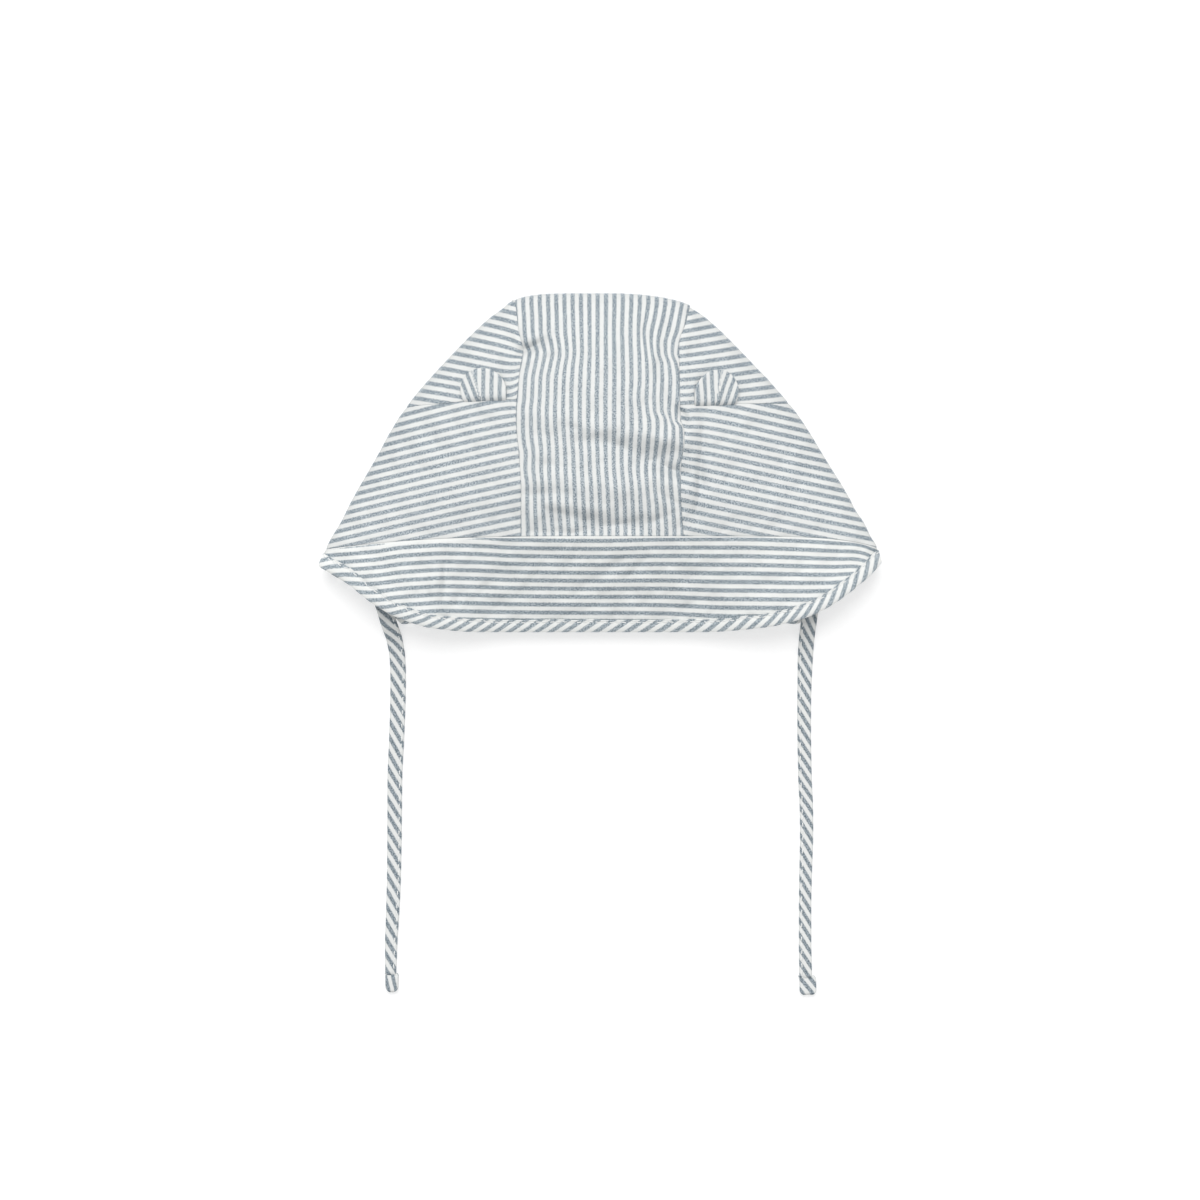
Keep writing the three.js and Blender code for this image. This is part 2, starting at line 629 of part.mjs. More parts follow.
// An ear: two layers of cloth lying on the upper side panel, with a pleat up from its base.
function ear(side) {
  const { lean, tuck, tuckSlope, way } = EARS[side];
  const { shoulder, roundness, bulge } = EAR_OUTLINE;
  const leaned = THREE.MathUtils.degToRad(lean);
  const offset = mirrorOf(side) * (PANEL_HALF + EAR_INSET);
  const surface = (u, v) => {
    const arc = Math.sqrt(Math.max(0, 1 - Math.abs(u) ** roundness));
    const across = (EAR_WIDTH / 2) * u * (1 + bulge * Math.sin(Math.PI * v));
    const up = EAR_HEIGHT * v * lerp(shoulder, 1, arc);
    const x = offset + across * Math.cos(leaned) + up * Math.sin(leaned);
    const base = earSeamY(offset + across) + SEAM_GAP;
    const y = base + up * Math.cos(leaned);
    const fromTuck = way * (u - tuck - tuckSlope * v);
    const pleat = Math.exp(fromTuck > 0 ? -fromTuck / PLEAT.soft : fromTuck / PLEAT.steep);
    const stand = EAR_SPRING * v * v + EAR_TUCK * pleat * (1 - PLEAT.fade * v);
    const seat = CLOTH / 2 + SEAM_GAP + EAR_CLOTH / 2 + stand;
    return crownPoint(x, y, true).addScaledVector(crownNormal(x, y, true), seat);
  };
  const middleAt = (u, v) => {
    const across = surface(u + STEP, v).sub(surface(u - STEP, v));
    const up = surface(u, v + STEP).sub(surface(u, v - STEP));
    return { point: surface(u, v), normal: across.cross(up).normalize(), thickness: EAR_CLOTH };
  };
  const outer = [0.86, 0.95, 0.99];
  const columns = [...outer.map((u) => -u).reverse(), ...evenly(-0.72, 0.72, 9), ...outer];
  return clothWall(middleAt, columns, evenly(0, 1, 5));
}

// A tie: a strip of folded tape, sewn on top of the neck flap's binding, from where it comes
// down to the surface and lies along it.
const TIE_STEPS = 40;
function tieRoute(side) {
  const points = TIE_ROUTES[side].map(([x, y]) => new THREE.Vector2(x, y));
  const curve = new THREE.SplineCurve(points);
  const length = curve.getLength();
  const sewn = BINDING_THICKNESS + SEAM_GAP + TIE_THICKNESS / 2;
  return evenly(0, 1, TIE_STEPS).map((share) => {
    const at = curve.getPointAt(share);
    const down = THREE.MathUtils.smoothstep(share * length, TIE_ON_BINDING, TIE_LANDING);
    return new THREE.Vector3(at.x, at.y, lerp(sewn, TIE_THICKNESS / 2, down));
  });
}
function tie(side) {
  const route = tieRoute(side);
  const w = TIE_WIDTH / 2;
  const h = TIE_THICKNESS / 2;
  const flatW = TIE_ROUNDING.face * w;
  const flatH = TIE_ROUNDING.side * h;
  const section = [
    [-w, flatH], [-flatW, h], [flatW, h], [w, flatH],
    [w, -flatH], [flatW, -h], [-flatW, -h], [-w, -flatH],
  ];
  const rings = route.map((point, i) => {
    const before = route[Math.max(i - 1, 0)];
    const after = route[Math.min(i + 1, route.length - 1)];
    const along = after.clone().sub(before).normalize();
    const across = along.clone().cross(new THREE.Vector3(0, 0, 1)).normalize();
    const up = across.clone().cross(along);
    return section.map(([a, b]) =>
      point.clone().addScaledVector(across, a).addScaledVector(up, b));
  });
  return solidFromRings(rings);
}

// The tie's free end: the tape folded back on itself, a small rounded pad on the surface.
function tieEnd(side) {
  const route = tieRoute(side);
  const end = route[route.length - 1];
  const before = route[route.length - 2];
  const bevel = TIE_END_BEVEL;
  const w = TIE_END_WIDTHS[side] / 2 - bevel;
  const long = TIE_END_LENGTH - 2 * bevel;
  const corner = TIE_END_CORNER;
  const outline = new THREE.Shape();
  outline.moveTo(-w, 0);
  outline.lineTo(-w, -long + corner);
  outline.quadraticCurveTo(-w, -long, -w + corner, -long);
  outline.lineTo(w - corner, -long);
  outline.quadraticCurveTo(w, -long, w, -long + corner);
  outline.lineTo(w, 0);
  outline.closePath();
  const geometry = new THREE.ExtrudeGeometry(outline, {
    depth: TIE_END_THICKNESS - 2 * bevel,
    bevelThickness: bevel,
    bevelSize: bevel,
    bevelSegments: 2,
    curveSegments: 3,
  });
  geometry.translate(0, -bevel - SEAM_GAP, bevel);
  const turn = Math.atan2(end.x - before.x, before.y - end.y);
  geometry.rotateZ(turn);
  geometry.translate(end.x, end.y, 0);
  return geometry;
}

addPiece("crown_centre_panel", centrePanel());
addPiece("front_brim", rimCloth(true, 5));
addPiece("neck_flap", rimCloth(false, 3));
addPiece("edge_binding", edgeBinding());
for (const side of ["left", "right"]) {
  addSidePanels(side);
  addPiece(`ear_${side}`, ear(side));
  addPiece(`tie_${side}`, tie(side));
  addPiece(`tie_end_${side}`, tieEnd(side));
}

export default group;
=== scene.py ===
"""A baby's sun hat of striped cotton, lying on its back with the front brim uppermost.

The pieces follow the frame's solids on finer meshes, within about 2 mm, and add the folds,
stripes and stitches of the cloth. Lengths are in millimetres until a mesh is made in metres.
The top of the crown points to +Y, the two ties run to -Y, and +Z is up.
"""

import math
from functools import partial

import bmesh
import bpy
import numpy as np
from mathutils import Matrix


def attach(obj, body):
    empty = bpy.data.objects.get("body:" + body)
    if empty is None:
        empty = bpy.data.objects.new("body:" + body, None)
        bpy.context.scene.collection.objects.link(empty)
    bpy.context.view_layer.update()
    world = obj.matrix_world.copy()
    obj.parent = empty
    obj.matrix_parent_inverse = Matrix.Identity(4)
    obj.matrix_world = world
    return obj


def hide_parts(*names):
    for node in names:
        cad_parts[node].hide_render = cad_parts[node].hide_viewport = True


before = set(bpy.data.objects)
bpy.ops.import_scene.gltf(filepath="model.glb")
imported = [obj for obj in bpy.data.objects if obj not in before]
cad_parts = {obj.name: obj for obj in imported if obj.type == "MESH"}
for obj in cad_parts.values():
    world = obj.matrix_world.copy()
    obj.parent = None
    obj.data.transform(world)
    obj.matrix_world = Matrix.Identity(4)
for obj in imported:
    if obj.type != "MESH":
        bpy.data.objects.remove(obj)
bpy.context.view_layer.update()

scene = bpy.context.scene
MM = 0.001
SIDES = ("left", "right")
UP = np.array([0.0, 0.0, 1.0])

# The hat's sizes. Lengths in Y are as laid flat, seen from above.
HAT_WIDTH = 259
CROWN_LENGTH = 113
BRIM_DEPTH = 44
CORNER_DROP = 12.8
CENTRE_PANEL_WIDTH = 75
CLOTH = 1.5
FOLD_SPREAD = 7
FOLD_HEIGHT = 4.2
CORNER_LIFT = 2.4
CORNER_SPREAD = 1.4  # the corners reach this much further out than the frame's
CORNER_SAG = {"left": 1.3, "right": 0}  # and lie this much lower
CORNER_SQUEEZE = 0.65  # share of the binding's thickness left at the corners
FOLD_SWELL = 4
CROWN_SWELL = 20

BINDING_WIDTH = 6.5
BINDING_WALL = 0.7
BINDING_EASE = 0.25
BINDING_BITE = 4.6
BINDING_ROUNDING = 0.55

EAR_CLOTH = 1.6
EAR_INSET = 15
EAR_TUCK = 1
EAR_SPRING = 1.2
# Each ear's width, height and lean in degrees, and its pleat's place as a share of half the
# width: at the base, and how much further on at the top.
EARS = {"left": (19.6, 14.2, -3.5, -0.17, -0.32), "right": (18.9, 15.4, 2, 0.04, 0.15)}
EAR_SHOULDER = 0.33
EAR_ROUNDNESS = 2.08
EAR_BULGE = 0.07
PLEAT = {"steep": 0.04, "soft": 0.22, "fade": 0.7}

TIE_WIDTH = 6.3
TIE_THICKNESS = 1.8
TIE_GAP = 0.3
TIE_END_LENGTH = 9.2
TIE_END_THICKNESS = 3
# Each folded end: width, shift to the right, rounding of its corners, where the upper layer
# begins, and the angle and pitch of its stripes.
TIE_ENDS = {"left": (6, 0.65, 2, 1.2, 14, 3.3), "right": (7.6, 0.85, 1.4, 1.5, 38, 3.5)}
TIE_END_TUCK = 2.4  # the tie runs on this far between the layers of its end
TIE_END_SET = 1.2  # the end has its whole shift this far on
LAYER_GAP = 0.08  # between the two layers of an end

HALF_WIDTH = HAT_WIDTH / 2
PANEL_HALF = CENTRE_PANEL_WIDTH / 2
TOP_Y = (CROWN_LENGTH + BRIM_DEPTH) / 2
SEAM_Y = TOP_Y - CROWN_LENGTH
BRIM_EDGE_Y = SEAM_Y - BRIM_DEPTH
CORNER_Y = SEAM_Y - CORNER_DROP
BINDING_THICKNESS = CLOTH + 2 * (BINDING_EASE + BINDING_WALL)
EDGE_HALF = HALF_WIDTH - BINDING_THICKNESS / 2 + CORNER_SPREAD
TIE_ON_BINDING = 1.5 * TIE_WIDTH
TIE_LANDING = 3.2 * TIE_WIDTH

TOP_CORNER_DROP = {"left": 2.3, "right": 4}
TOP_CORNER_POWER = {"left": 4.8, "right": 2.8}
TOP_CORNER_REACH = 1.15
TOP_PRESS = 0.4  # the top fold lies this much lower than the frame's
TIP_SHARE = 0.5  # cloth is no thicker than this share of its panel's width

# Curves: a share of the way down, or across, against a share of the size that it belongs to.
CROWN_OUTLINE = {
    "left": {
        0.037: 0.318, 0.07: 0.348, 0.111: 0.397, 0.275: 0.543, 0.439: 0.67, 0.521: 0.7225,
        0.685: 0.802, 0.849: 0.8835, 0.95: 0.9275, 1.006: 0.9575, 1.105: 1,
    },
    "right": {
        0.037: 0.31, 0.07: 0.333, 0.111: 0.382, 0.275: 0.53, 0.439: 0.662, 0.521: 0.717,
        0.685: 0.806, 0.849: 0.892, 0.891: 0.91, 0.949: 0.9435, 1.006: 0.967, 1.043: 0.988,
        1.105: 1,
    },
}
SEAMS = {
    "left": {
        0: 1.05, 0.05: 1.035, 0.16: 0.995, 0.25: 0.94, 0.33: 0.975, 0.52: 1.02, 0.68: 0.983,
        0.8: 0.96, 1.05: 0.968,
    },
    "right": {
        0: 1.12, 0.06: 1.1, 0.13: 1.05, 0.22: 0.965, 0.45: 0.973, 0.53: 0.98, 0.575: 1.02,
        0.62: 1.025, 0.7: 0.99, 0.8: 0.98, 1.05: 1.03,
    },
}
RIM_FOLD = {"left": 1.052, "right": 1.046}  # how far down the brim seam is at the side folds
RIM_POWER = {"left": 3, "right": 8}
EAR_SEAMS = {
    "left": {
        0.29: 0.45, 0.352: 0.4485, 0.423: 0.4505, 0.484: 0.454, 0.53: 0.46, 0.567: 0.463,
        0.636: 0.467, 0.7: 0.4775,
    },
    "right": {
        0.285: 0.472, 0.334: 0.47, 0.405: 0.468, 0.477: 0.4635, 0.53: 0.462, 0.585: 0.462,
        0.64: 0.46, 0.68: 0.457,
    },
}
CROWN_PROFILE = {0: 0, 0.12: 0.42, 0.28: 0.76, 0.46: 0.95, 0.66: 1, 0.84: 0.9, 1: 0.66, 1.105: 0.6}
ARCH_POWER = 0.85
BRIM_EDGE = {
    "left": {0: 1, 0.43: 1, 0.594: 0.945, 0.719: 0.786, 0.8135: 0.566, 0.936: 0.157, 1: 0},
    "right": {0: 1, 0.363: 1, 0.583: 0.934, 0.728: 0.791, 0.8: 0.661, 0.9455: 0.228, 1: 0},
}
FLAP_EDGE = {0: 0.84, 0.6: 0.84, 0.705: 0.885, 0.75: 0.72, 0.88: 0.35, 1: 0}
BRIM_LIFT = {0: -0.04, 0.33: 0, 0.48: 0.18, 0.62: 0.38, 0.8: 0.42, 0.93: 0.3, 1: 0.2}

# Folds of the crown, the soft ones first: place out (share of the centre panel's half width) and
# down (share of the crown's length), reach and breadth (shares of the panel's width), turn in
# degrees from the X axis, and lift (share of CROWN_SWELL).
CROWN_FOLDS = (
    (0, 0.56, 0.5, 0.06, -8, 0.06), (0.24, 0.665, 0.46, 0.07, -10, -0.06),
    (-0.1, 0.8, 0.5, 0.08, -3, 0.07), (0.05, 0.955, 0.55, 0.07, -2, -0.05),
    (-0.88, 0.245, 0.16, 0.05, -20, -0.07), (-0.78, 0.3, 0.16, 0.06, -10, 0.04),
    (0.78, 0.2, 0.14, 0.12, 75, 0.05), (0.86, 0.72, 0.16, 0.05, -28, -0.07),
    (0.85, 0.6, 0.15, 0.07, -30, 0.05), (1.24, 0.72, 0.42, 0.055, 88, -0.05),
    (0.06, 0.624, 0.16, 0.038, -4, -0.05), (0.46, 0.69, 0.16, 0.052, -16, -0.046),
    (0.04, 0.662, 0.2, 0.038, -6, 0.03), (0.02, 0.594, 0.1, 0.022, 6, -0.018),
    (0.32, 0.656, 0.12, 0.024, -24, -0.022), (0.34, 0.56, 0.1, 0.02, 30, -0.024),
    (0.68, 0.665, 0.2, 0.042, -4, -0.042), (0.73, 0.606, 0.15, 0.04, -15, 0.045),
    (0.55, 0.7, 0.1, 0.02, 12, -0.024), (0.87, 0.735, 0.12, 0.032, -20, -0.09),
    (0.8, 0.785, 0.14, 0.035, -18, 0.05), (0.9, 0.86, 0.1, 0.022, -30, -0.04),
    (0, 0.944, 0.24, 0.042, -8, -0.04), (-0.3, 0.882, 0.2, 0.04, -6, 0.042),
    (0.2, 0.95, 0.14, 0.026, 8, -0.04), (0.46, 0.93, 0.16, 0.036, -6, -0.018),
    (0.72, 0.93, 0.12, 0.024, 24, -0.028), (-0.75, 0.83, 0.12, 0.034, 5, -0.05),
    (-0.5, 0.9, 0.14, 0.026, -14, -0.04), (-0.36, 0.985, 0.25, 0.028, 0, -0.06),
    (-0.55, 0.72, 0.12, 0.026, -10, -0.03), (-0.35, 0.56, 0.12, 0.024, -16, -0.024),
    (-0.82, 0.232, 0.14, 0.028, 24, -0.098), (-0.72, 0.262, 0.14, 0.035, 20, 0.064),
    (-0.85, 0.195, 0.14, 0.035, 22, 0.072), (0.55, 0.176, 0.13, 0.03, 80, -0.064),
    (0.68, 0.2, 0.14, 0.035, 78, 0.064), (0.99, 0.5, 0.1, 0.02, -50, -0.096),
    (1.22, 0.74, 0.3, 0.026, 86, -0.072), (-1.5, 0.82, 0.2, 0.03, 70, -0.032),
)
# The brim's, in the same columns.
BRIM_FOLDS = (
    (-1.9, 1.19, 0.22, 0.028, 86, -0.05), (-2.02, 1.19, 0.22, 0.035, 88, 0.036),
    (0, 1.16, 0.3, 0.028, 36, -0.017), (0.45, 1.13, 0.14, 0.026, 42, -0.026),
    (0.62, 1.15, 0.14, 0.03, 44, 0.016), (-0.9, 1.2, 0.22, 0.026, 48, -0.02),
    (-1.4, 1.2, 0.18, 0.026, 52, -0.02), (1.3, 1.2, 0.2, 0.03, 60, -0.018),
)

# Each tie's line on the surface, from its sewn end to its fold.
TIE_ROUTES = {
    "left": (
        (-100.6, -64.6), (-99.2, -69), (-97.6, -74.4), (-95.2, -82), (-93.8, -91),
        (-93.5, -100), (-93.6, -110), (-94.2, -128), (-95, -146), (-95.1, -160),
        (-95.2, -175), (-95.5, -193.5), (-96.1, -210), (-96.7, -223), (-96.9, -236.2),
    ),
    "right": (
        (98.5, -63.4), (97.4, -68), (96.5, -74), (95.7, -82), (95.1, -91), (94.8, -101),
        (94.6, -112), (94.6, -124), (95, -147), (95.6, -160), (95.7, -172), (95.3, -189),
        (95, -206), (95, -222), (95.3, -237.4),
    ),
}

# Sizes of the cloth's own detail.
GRAIN = 0.95  # spacing of the points of a front surface
COARSE = 3.2  # the same for the back
FINE = 0.35  # the same for ears and ties
EDGE_STEPS = np.array([0, 0.12, 0.35, 0.75])  # places of the points that round an edge
EDGE_END = 1.5  # the even spacing starts this far in from an edge
VISIBLE_GAP = 0.03  # between cloth edges sewn together
TIP_RISE = 0.3  # the side panels' tips reach this far above the top fold's corners
EDGE_ROUND = 0.75  # how far in from its edge a wall of cloth has its full thickness
SEAM_EDGE = 0.75  # share of that thickness at a sewn edge
FREE_EDGE = 0.25  # the same at a free edge
SEAM_SINK = 0.22  # a seam lies this much lower than the cloth beside it
SEAM_REACH = 1.3
WHITE_EDGE = 0.5  # width of the white line that the brim's stripes turn to along its seam
STRIPE_PITCH = 3.8
TAPE_PITCH = 6.6  # between stripes along the binding's edge, where it is hidden
TAPE_ANGLE = math.radians(36)
TAPE_MIDDLE = 3  # from the bound edge to the line on which TAPE_STRIPES are counted
# Stripe numbers along the front of the bound edge, from the middle to the right.
TAPE_STRIPES = {
    -133.2: -21, -113.3: -18, -77.8: -12, -45.9: -7, -13.7: -2, 0.5: 0, 22: 3, 58.8: 8,
    72.6: 10, 103.8: 15, 130.7: 19,
}
STITCH_PITCH = 3.1
STITCH_LENGTH = 2.3
STITCH_WIDTH = 0.5
STITCH_INSET = 1.1  # the stitch line's distance from the binding's inner edge
STITCH_WANDER = 0.12  # how far stitches turn and stray from their line
STITCH_FACES_UP = 0.6  # no stitches where the binding stands steeper than this
LOOSE_STITCHES = (-95, 45)  # middle and reach, along the bound edge, of the looser stitches
BINDING_PRESS = 0.3  # how deep the stitches press the binding
BINDING_PRESS_REACH = 0.7
GATHERS = 0.4  # that depth's change from stitch to stitch, as a share of it
BINDING_WANDER = 0.15  # how far the binding's inner edge strays
LIP_ROUND = 0.25  # how far the binding's inner edge turns down
SLOPE_PAINTED_SHADE = 1.6  # how soon a slope takes the cloth's painted shade colours
SEED = 11

CAMERA_Y = -63.7
CAMERA_HEIGHT = 1545


def through(rows):
    """A smooth curve through the rows, which never overshoots them."""
    xs = np.array(list(rows), dtype=float)
    ys = np.array(list(rows.values()), dtype=float)
    rates = np.diff(ys) / np.diff(xs)
    before = np.concatenate([rates[:1], rates])
    after = np.concatenate([rates, rates[-1:]])
    agree = before * after > 0
    slopes = np.where(agree, 2 * before * after / np.where(agree, before + after, 1), 0)

    def curve(x):
        at = np.clip(x, xs[0], xs[-1])
        i = np.clip(np.searchsorted(xs, at) - 1, 0, len(xs) - 2)
        span = xs[i + 1] - xs[i]
        t = (at - xs[i]) / span
        low = (1 + 2 * t) * (1 - t) ** 2 * ys[i] + t * (1 - t) ** 2 * span * slopes[i]
        high = t * t * (3 - 2 * t) * ys[i + 1] - t * t * (1 - t) * span * slopes[i + 1]
        return low + high

    return curve


def both_sides(tables):
    """A curve for each side of the hat, chosen by the sign of x."""
    left, right = through(tables["left"]), through(tables["right"])
    return lambda x, at: np.where(np.asarray(x) < 0, left(at), right(at))


def lerp(a, b, t):
    return a + (b - a) * t


def smoothstep(low, high, x):
    t = np.clip((np.asarray(x, dtype=float) - low) / (high - low), 0, 1)
    return t * t * (3 - 2 * t)


def chosen(x, values):
    return np.where(np.asarray(x) < 0, values["left"], values["right"])


outline_out = both_sides(CROWN_OUTLINE)
seam_out = both_sides(SEAMS)
ear_seam_down = both_sides(EAR_SEAMS)
swell_down = through(CROWN_PROFILE)
brim_drop = both_sides(BRIM_EDGE)
flap_drop = through(FLAP_EDGE)
brim_lift = through(BRIM_LIFT)


def down_at(y):
    return (TOP_Y - y) / CROWN_LENGTH


def y_at(down):
    return TOP_Y - down * CROWN_LENGTH


def mirror_of(side):
    return -1 if side == "left" else 1


def seam_x(side, y):
    """The seam beside the centre panel, as a distance out from the middle."""
    return PANEL_HALF * seam_out(mirror_of(side), down_at(y))


def half_width(x, y):
    return HALF_WIDTH * outline_out(x, down_at(y)) - CLOTH / 2


def outline_cosine(x, y):
    step = 0.5
    slope = (half_width(x, y - step) - half_width(x, y + step)) / (2 * step)
    return 1 / np.hypot(1, slope)


def top_edge_y(x):
    out = np.minimum(np.abs(np.asarray(x) / PANEL_HALF), TOP_CORNER_REACH)
    drop = chosen(x, TOP_CORNER_DROP) * out ** chosen(x, TOP_CORNER_POWER)
    return TOP_Y - TOP_PRESS - CLOTH / 2 - drop


def round_share(distance, reach):
    """The share of its full size that a rounded edge has reached this far in."""
    left = 1 - np.clip(distance / reach, 0, 1)
    return np.sqrt(1 - left * left)


def inside_edge(x, y):
    sideways = (half_width(x, y) - np.abs(x)) * outline_cosine(x, y)
    return np.minimum(sideways, top_edge_y(x) - y)


def fold_height(y):
    return FOLD_HEIGHT + CORNER_LIFT * smoothstep(0.7, 1.05, down_at(y))


def folds(x, y, rows):
    """Lift of a table of folds at a point of the front cloth."""
    total = 0
    for out, down, reach, breadth, turn, lift in rows:
        c, s = math.cos(math.radians(turn)), math.sin(math.radians(turn))
        dx = x - out * PANEL_HALF
        dy = y - y_at(down)
        along = (dx * c + dy * s) / CENTRE_PANEL_WIDTH / reach
        away = (dy * c - dx * s) / CENTRE_PANEL_WIDTH / breadth
        total = total + lift * CROWN_SWELL * np.exp(-along * along - away * away)
    return total


def front_rise(x, y):
    across = np.clip(np.abs(x) / half_width(x, y), 0, 1)
    arch = (1 - across * across) ** ARCH_POWER
    return FOLD_SWELL + CROWN_SWELL * swell_down(down_at(y)) * arch + folds(x, y, CROWN_FOLDS)


def crown_point(x, y, front):
    """Middle of the crown's cloth. front is True on the uppermost layer."""
    rise = np.where(front, front_rise(x, y), CLOTH / 2 - fold_height(y))
    z = fold_height(y) + rise * round_share(inside_edge(x, y), FOLD_SPREAD)
    return np.stack(np.broadcast_arrays(x, y, z), axis=-1)


RIM_HALF = {side: float(half_width(mirror_of(side), y_at(RIM_FOLD[side]))) for side in SIDES}


def rim_y(x):
    """The brim seam."""
    out = np.clip(np.abs(x) / chosen(x, RIM_HALF), 0, 1)
    return y_at(lerp(1, chosen(x, RIM_FOLD), out ** chosen(x, RIM_POWER)))


def ear_seam_y(x):
    return y_at(ear_seam_down(x, np.abs(x) / HALF_WIDTH))


def rim_line(angle):
    """The brim seam's point, the bound edge's point, and whether they are in front."""
    across = np.sin(angle)
    front = np.cos(angle) > 0
    out = np.abs(across)
    x = across * chosen(across, RIM_HALF)
    seam = crown_point(x, rim_y(x), front)
    drop = np.where(front, brim_drop(across, out), flap_drop(out))
    share = round_share(EDGE_HALF * (1 - out) * outline_cosine(across, CORNER_Y), FOLD_SPREAD)
    base = fold_height(CORNER_Y)
    rise = np.where(front, CROWN_SWELL * brim_lift(out), BINDING_THICKNESS / 2 - base)
    edge_y = lerp(CORNER_Y, BRIM_EDGE_Y, drop)
    edge_y = edge_y - chosen(across, CORNER_SAG) * smoothstep(0.86, 1, out)
    edge = np.stack([across * EDGE_HALF, edge_y, base + rise * share], axis=-1)
    return seam, edge, front


def rim_point(angle, along):
    """A point of the rim's cloth, from 0 at the seam to 1 at the bound edge."""
    seam, edge, front = rim_line(angle)
    point = lerp(seam, edge, along[..., None])
    reach = np.linalg.norm(edge - seam, axis=-1)
    level = np.maximum(0.1, 1 - 1.15 * BINDING_WIDTH / reach)
    flap_z = lerp(seam[..., 2], edge[..., 2], smoothstep(0, 1, along / level))
    point[..., 2] = np.where(front, point[..., 2], flap_z)
    return point


def ripple(x, y, size, seed):
    """A smooth random height field from -1 to 1 or so, with waves about this long."""
    random = np.random.default_rng(SEED + seed)
    total, waves = 0, 14
    for _ in range(waves):
        turn = random.uniform(0, math.pi)
        length = size * random.uniform(0.75, 1.5)
        phase = random.uniform(0, math.tau)
        along = x * math.cos(turn) + y * math.sin(turn)
        total = total + np.sin(math.tau * along / length + phase)
    return total / math.sqrt(waves / 2)


def unit(vectors):
    return vectors / np.maximum(np.linalg.norm(vectors, axis=-1, keepdims=True), 1e-12)


def grid_normals(points):
    return unit(np.cross(np.gradient(points, axis=1), np.gradient(points, axis=0)))


def travelled_along(points, axis=0):
    """How far along its line each point lies."""
    steps = np.linalg.norm(np.diff(points, axis=axis), axis=-1)
    start = np.zeros_like(np.take(steps, [0], axis=axis))
    return np.concatenate([start, np.cumsum(steps, axis=axis)], axis=axis)


def edge_distance(points):
    """How far in from the nearest edge each point of a grid lies, along its row or column."""
    inset = np.inf
    for axis in (0, 1):
        travelled = travelled_along(points, axis)
        total = np.take(travelled, [-1], axis=axis)
        inset = np.minimum(inset, np.minimum(travelled, total - travelled))
    return inset


def rows_at(wanted, places, rows):
    """Rows that are known at some places along a line, at the wanted places."""
    return np.stack([np.interp(wanted, places, column) for column in rows.T], axis=1)


def quads(ids):
    corners = ids[:-1, :-1], ids[:-1, 1:], ids[1:, 1:], ids[1:, :-1]
    return np.stack(corners, axis=-1).reshape(-1, 4)


def stations(length, pitch):
    """Shares from 0 to 1 along a length, close together at both ends for a rounded edge."""
    ends, even = EDGE_STEPS / length, EDGE_END / length
    inner = np.linspace(even, 1 - even, max(3, round(length / pitch)))
    return np.concatenate([ends, inner, 1 - ends[::-1]])


def add_object(name, data):
    obj = bpy.data.objects.new(name, data)
    scene.collection.objects.link(obj)
    return obj


def add_piece(name, points, faces, weave, cloth, replaced=()):
    material, slot = cloth
    mesh = bpy.data.meshes.new(name)
    mesh.from_pydata((points * MM).tolist(), [], faces.tolist())
    if weave is not None:
        attribute = mesh.attributes.new("weave", "FLOAT_VECTOR", "POINT")
        attribute.data.foreach_set("vector", np.asarray(weave, dtype=np.float32).ravel())
    mesh.polygons.foreach_set("use_smooth", np.ones(len(mesh.polygons), dtype=bool))
    mesh.materials.append(material)
    mesh.validate()
    obj = add_object(name, mesh)
    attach(obj, "root")
    if replaced:
        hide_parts(*replaced)
    return obj


def add_cloth(
    name, middle, thickness, weave, cloth, replaced, rounding=EDGE_ROUND, edge_share=SEAM_EDGE
):
    """A closed wall of cloth round a grid of middle points. weave works out each point's
    place along its stripe in millimetres, and its stripe number. The weave attribute's third
    value is how steep the cloth is."""
    inset = edge_distance(middle)
    offset = np.asarray(thickness) / 2 * lerp(edge_share, 1, round_share(inset, rounding))
    normal = grid_normals(middle)
    outer = middle + normal * offset[..., None]
    face = outer.reshape(-1, 3)
    other = (middle - normal * offset[..., None]).reshape(-1, 3)
    ids = np.arange(len(face)).reshape(middle.shape[:2])
    border = np.concatenate([ids[0, :-1], ids[:-1, -1], ids[-1, :0:-1], ids[:0:-1, 0]])
    after = np.roll(border, -1)
    wall = np.stack([after, border, border + len(face), after + len(face)], axis=-1)
    faces = np.concatenate([quads(ids), quads(ids + len(face))[:, ::-1], wall])
    # How steep the cloth is; the material paints shade on slopes and folds from this.
    steep = np.clip(SLOPE_PAINTED_SHADE * (1 - np.abs(grid_normals(outer)[..., 2])), 0, 1)
    values = np.stack(np.broadcast_arrays(*weave(outer), steep), axis=-1).reshape(-1, 3)
    points, values = np.concatenate([face, other]), np.concatenate([values, values])
    return add_piece(name, points, faces, values, cloth, replaced)


# Materials.
WARP_PITCH = 0.5
WEFT_PITCH = 0.62
YARN_STRETCH = 1.4  # frayed edges and slubs are this much shorter across the stripes
FRAY = 0.035  # how far a stripe's edge strays, in stripes
FOLD_PAINTED_SHADE_SHARE = 1.8  # share of the painted shade blue in folds, for each steep * (1 - steep)
BUMP_DEPTH = 0.0001
# Each cloth's colours: light and deep blue, and light and deep white. The rim and the ties
# are copies of the crown's cloth with painted light and shade: deeper blues as painted shade,
# and on the rim a lighter white as painted light.
CROWN_COLOURS = (189, 197, 202), (126, 138, 147), (229, 230, 229), (221, 223, 221)
RIM_COLOURS = (184, 193, 199), (122, 135, 143), (239, 240, 238), (231, 233, 231)
TIE_COLOURS = (160, 169, 176), (100, 113, 121), (227, 228, 227), (218, 220, 218)
# Painted shade: the colours that steep and folded cloth is mixed towards.
PAINTED_SHADE_BLUE = (100, 113, 122)
PAINTED_SHADE_WHITE = (200, 202, 201)
THREAD = (240, 241, 240)
DULL_THREAD = (222, 224, 223)
FLOOR = (200, 200, 200)
FLOOR_GLOW = 0.48
SKY_GLOW = 0.73
# A soft, distant light, tilted from straight above towards +Y, then turned about Z.
SUN = {"strength": 1.75, "spread": 50, "tilt": 42, "turn": 8}


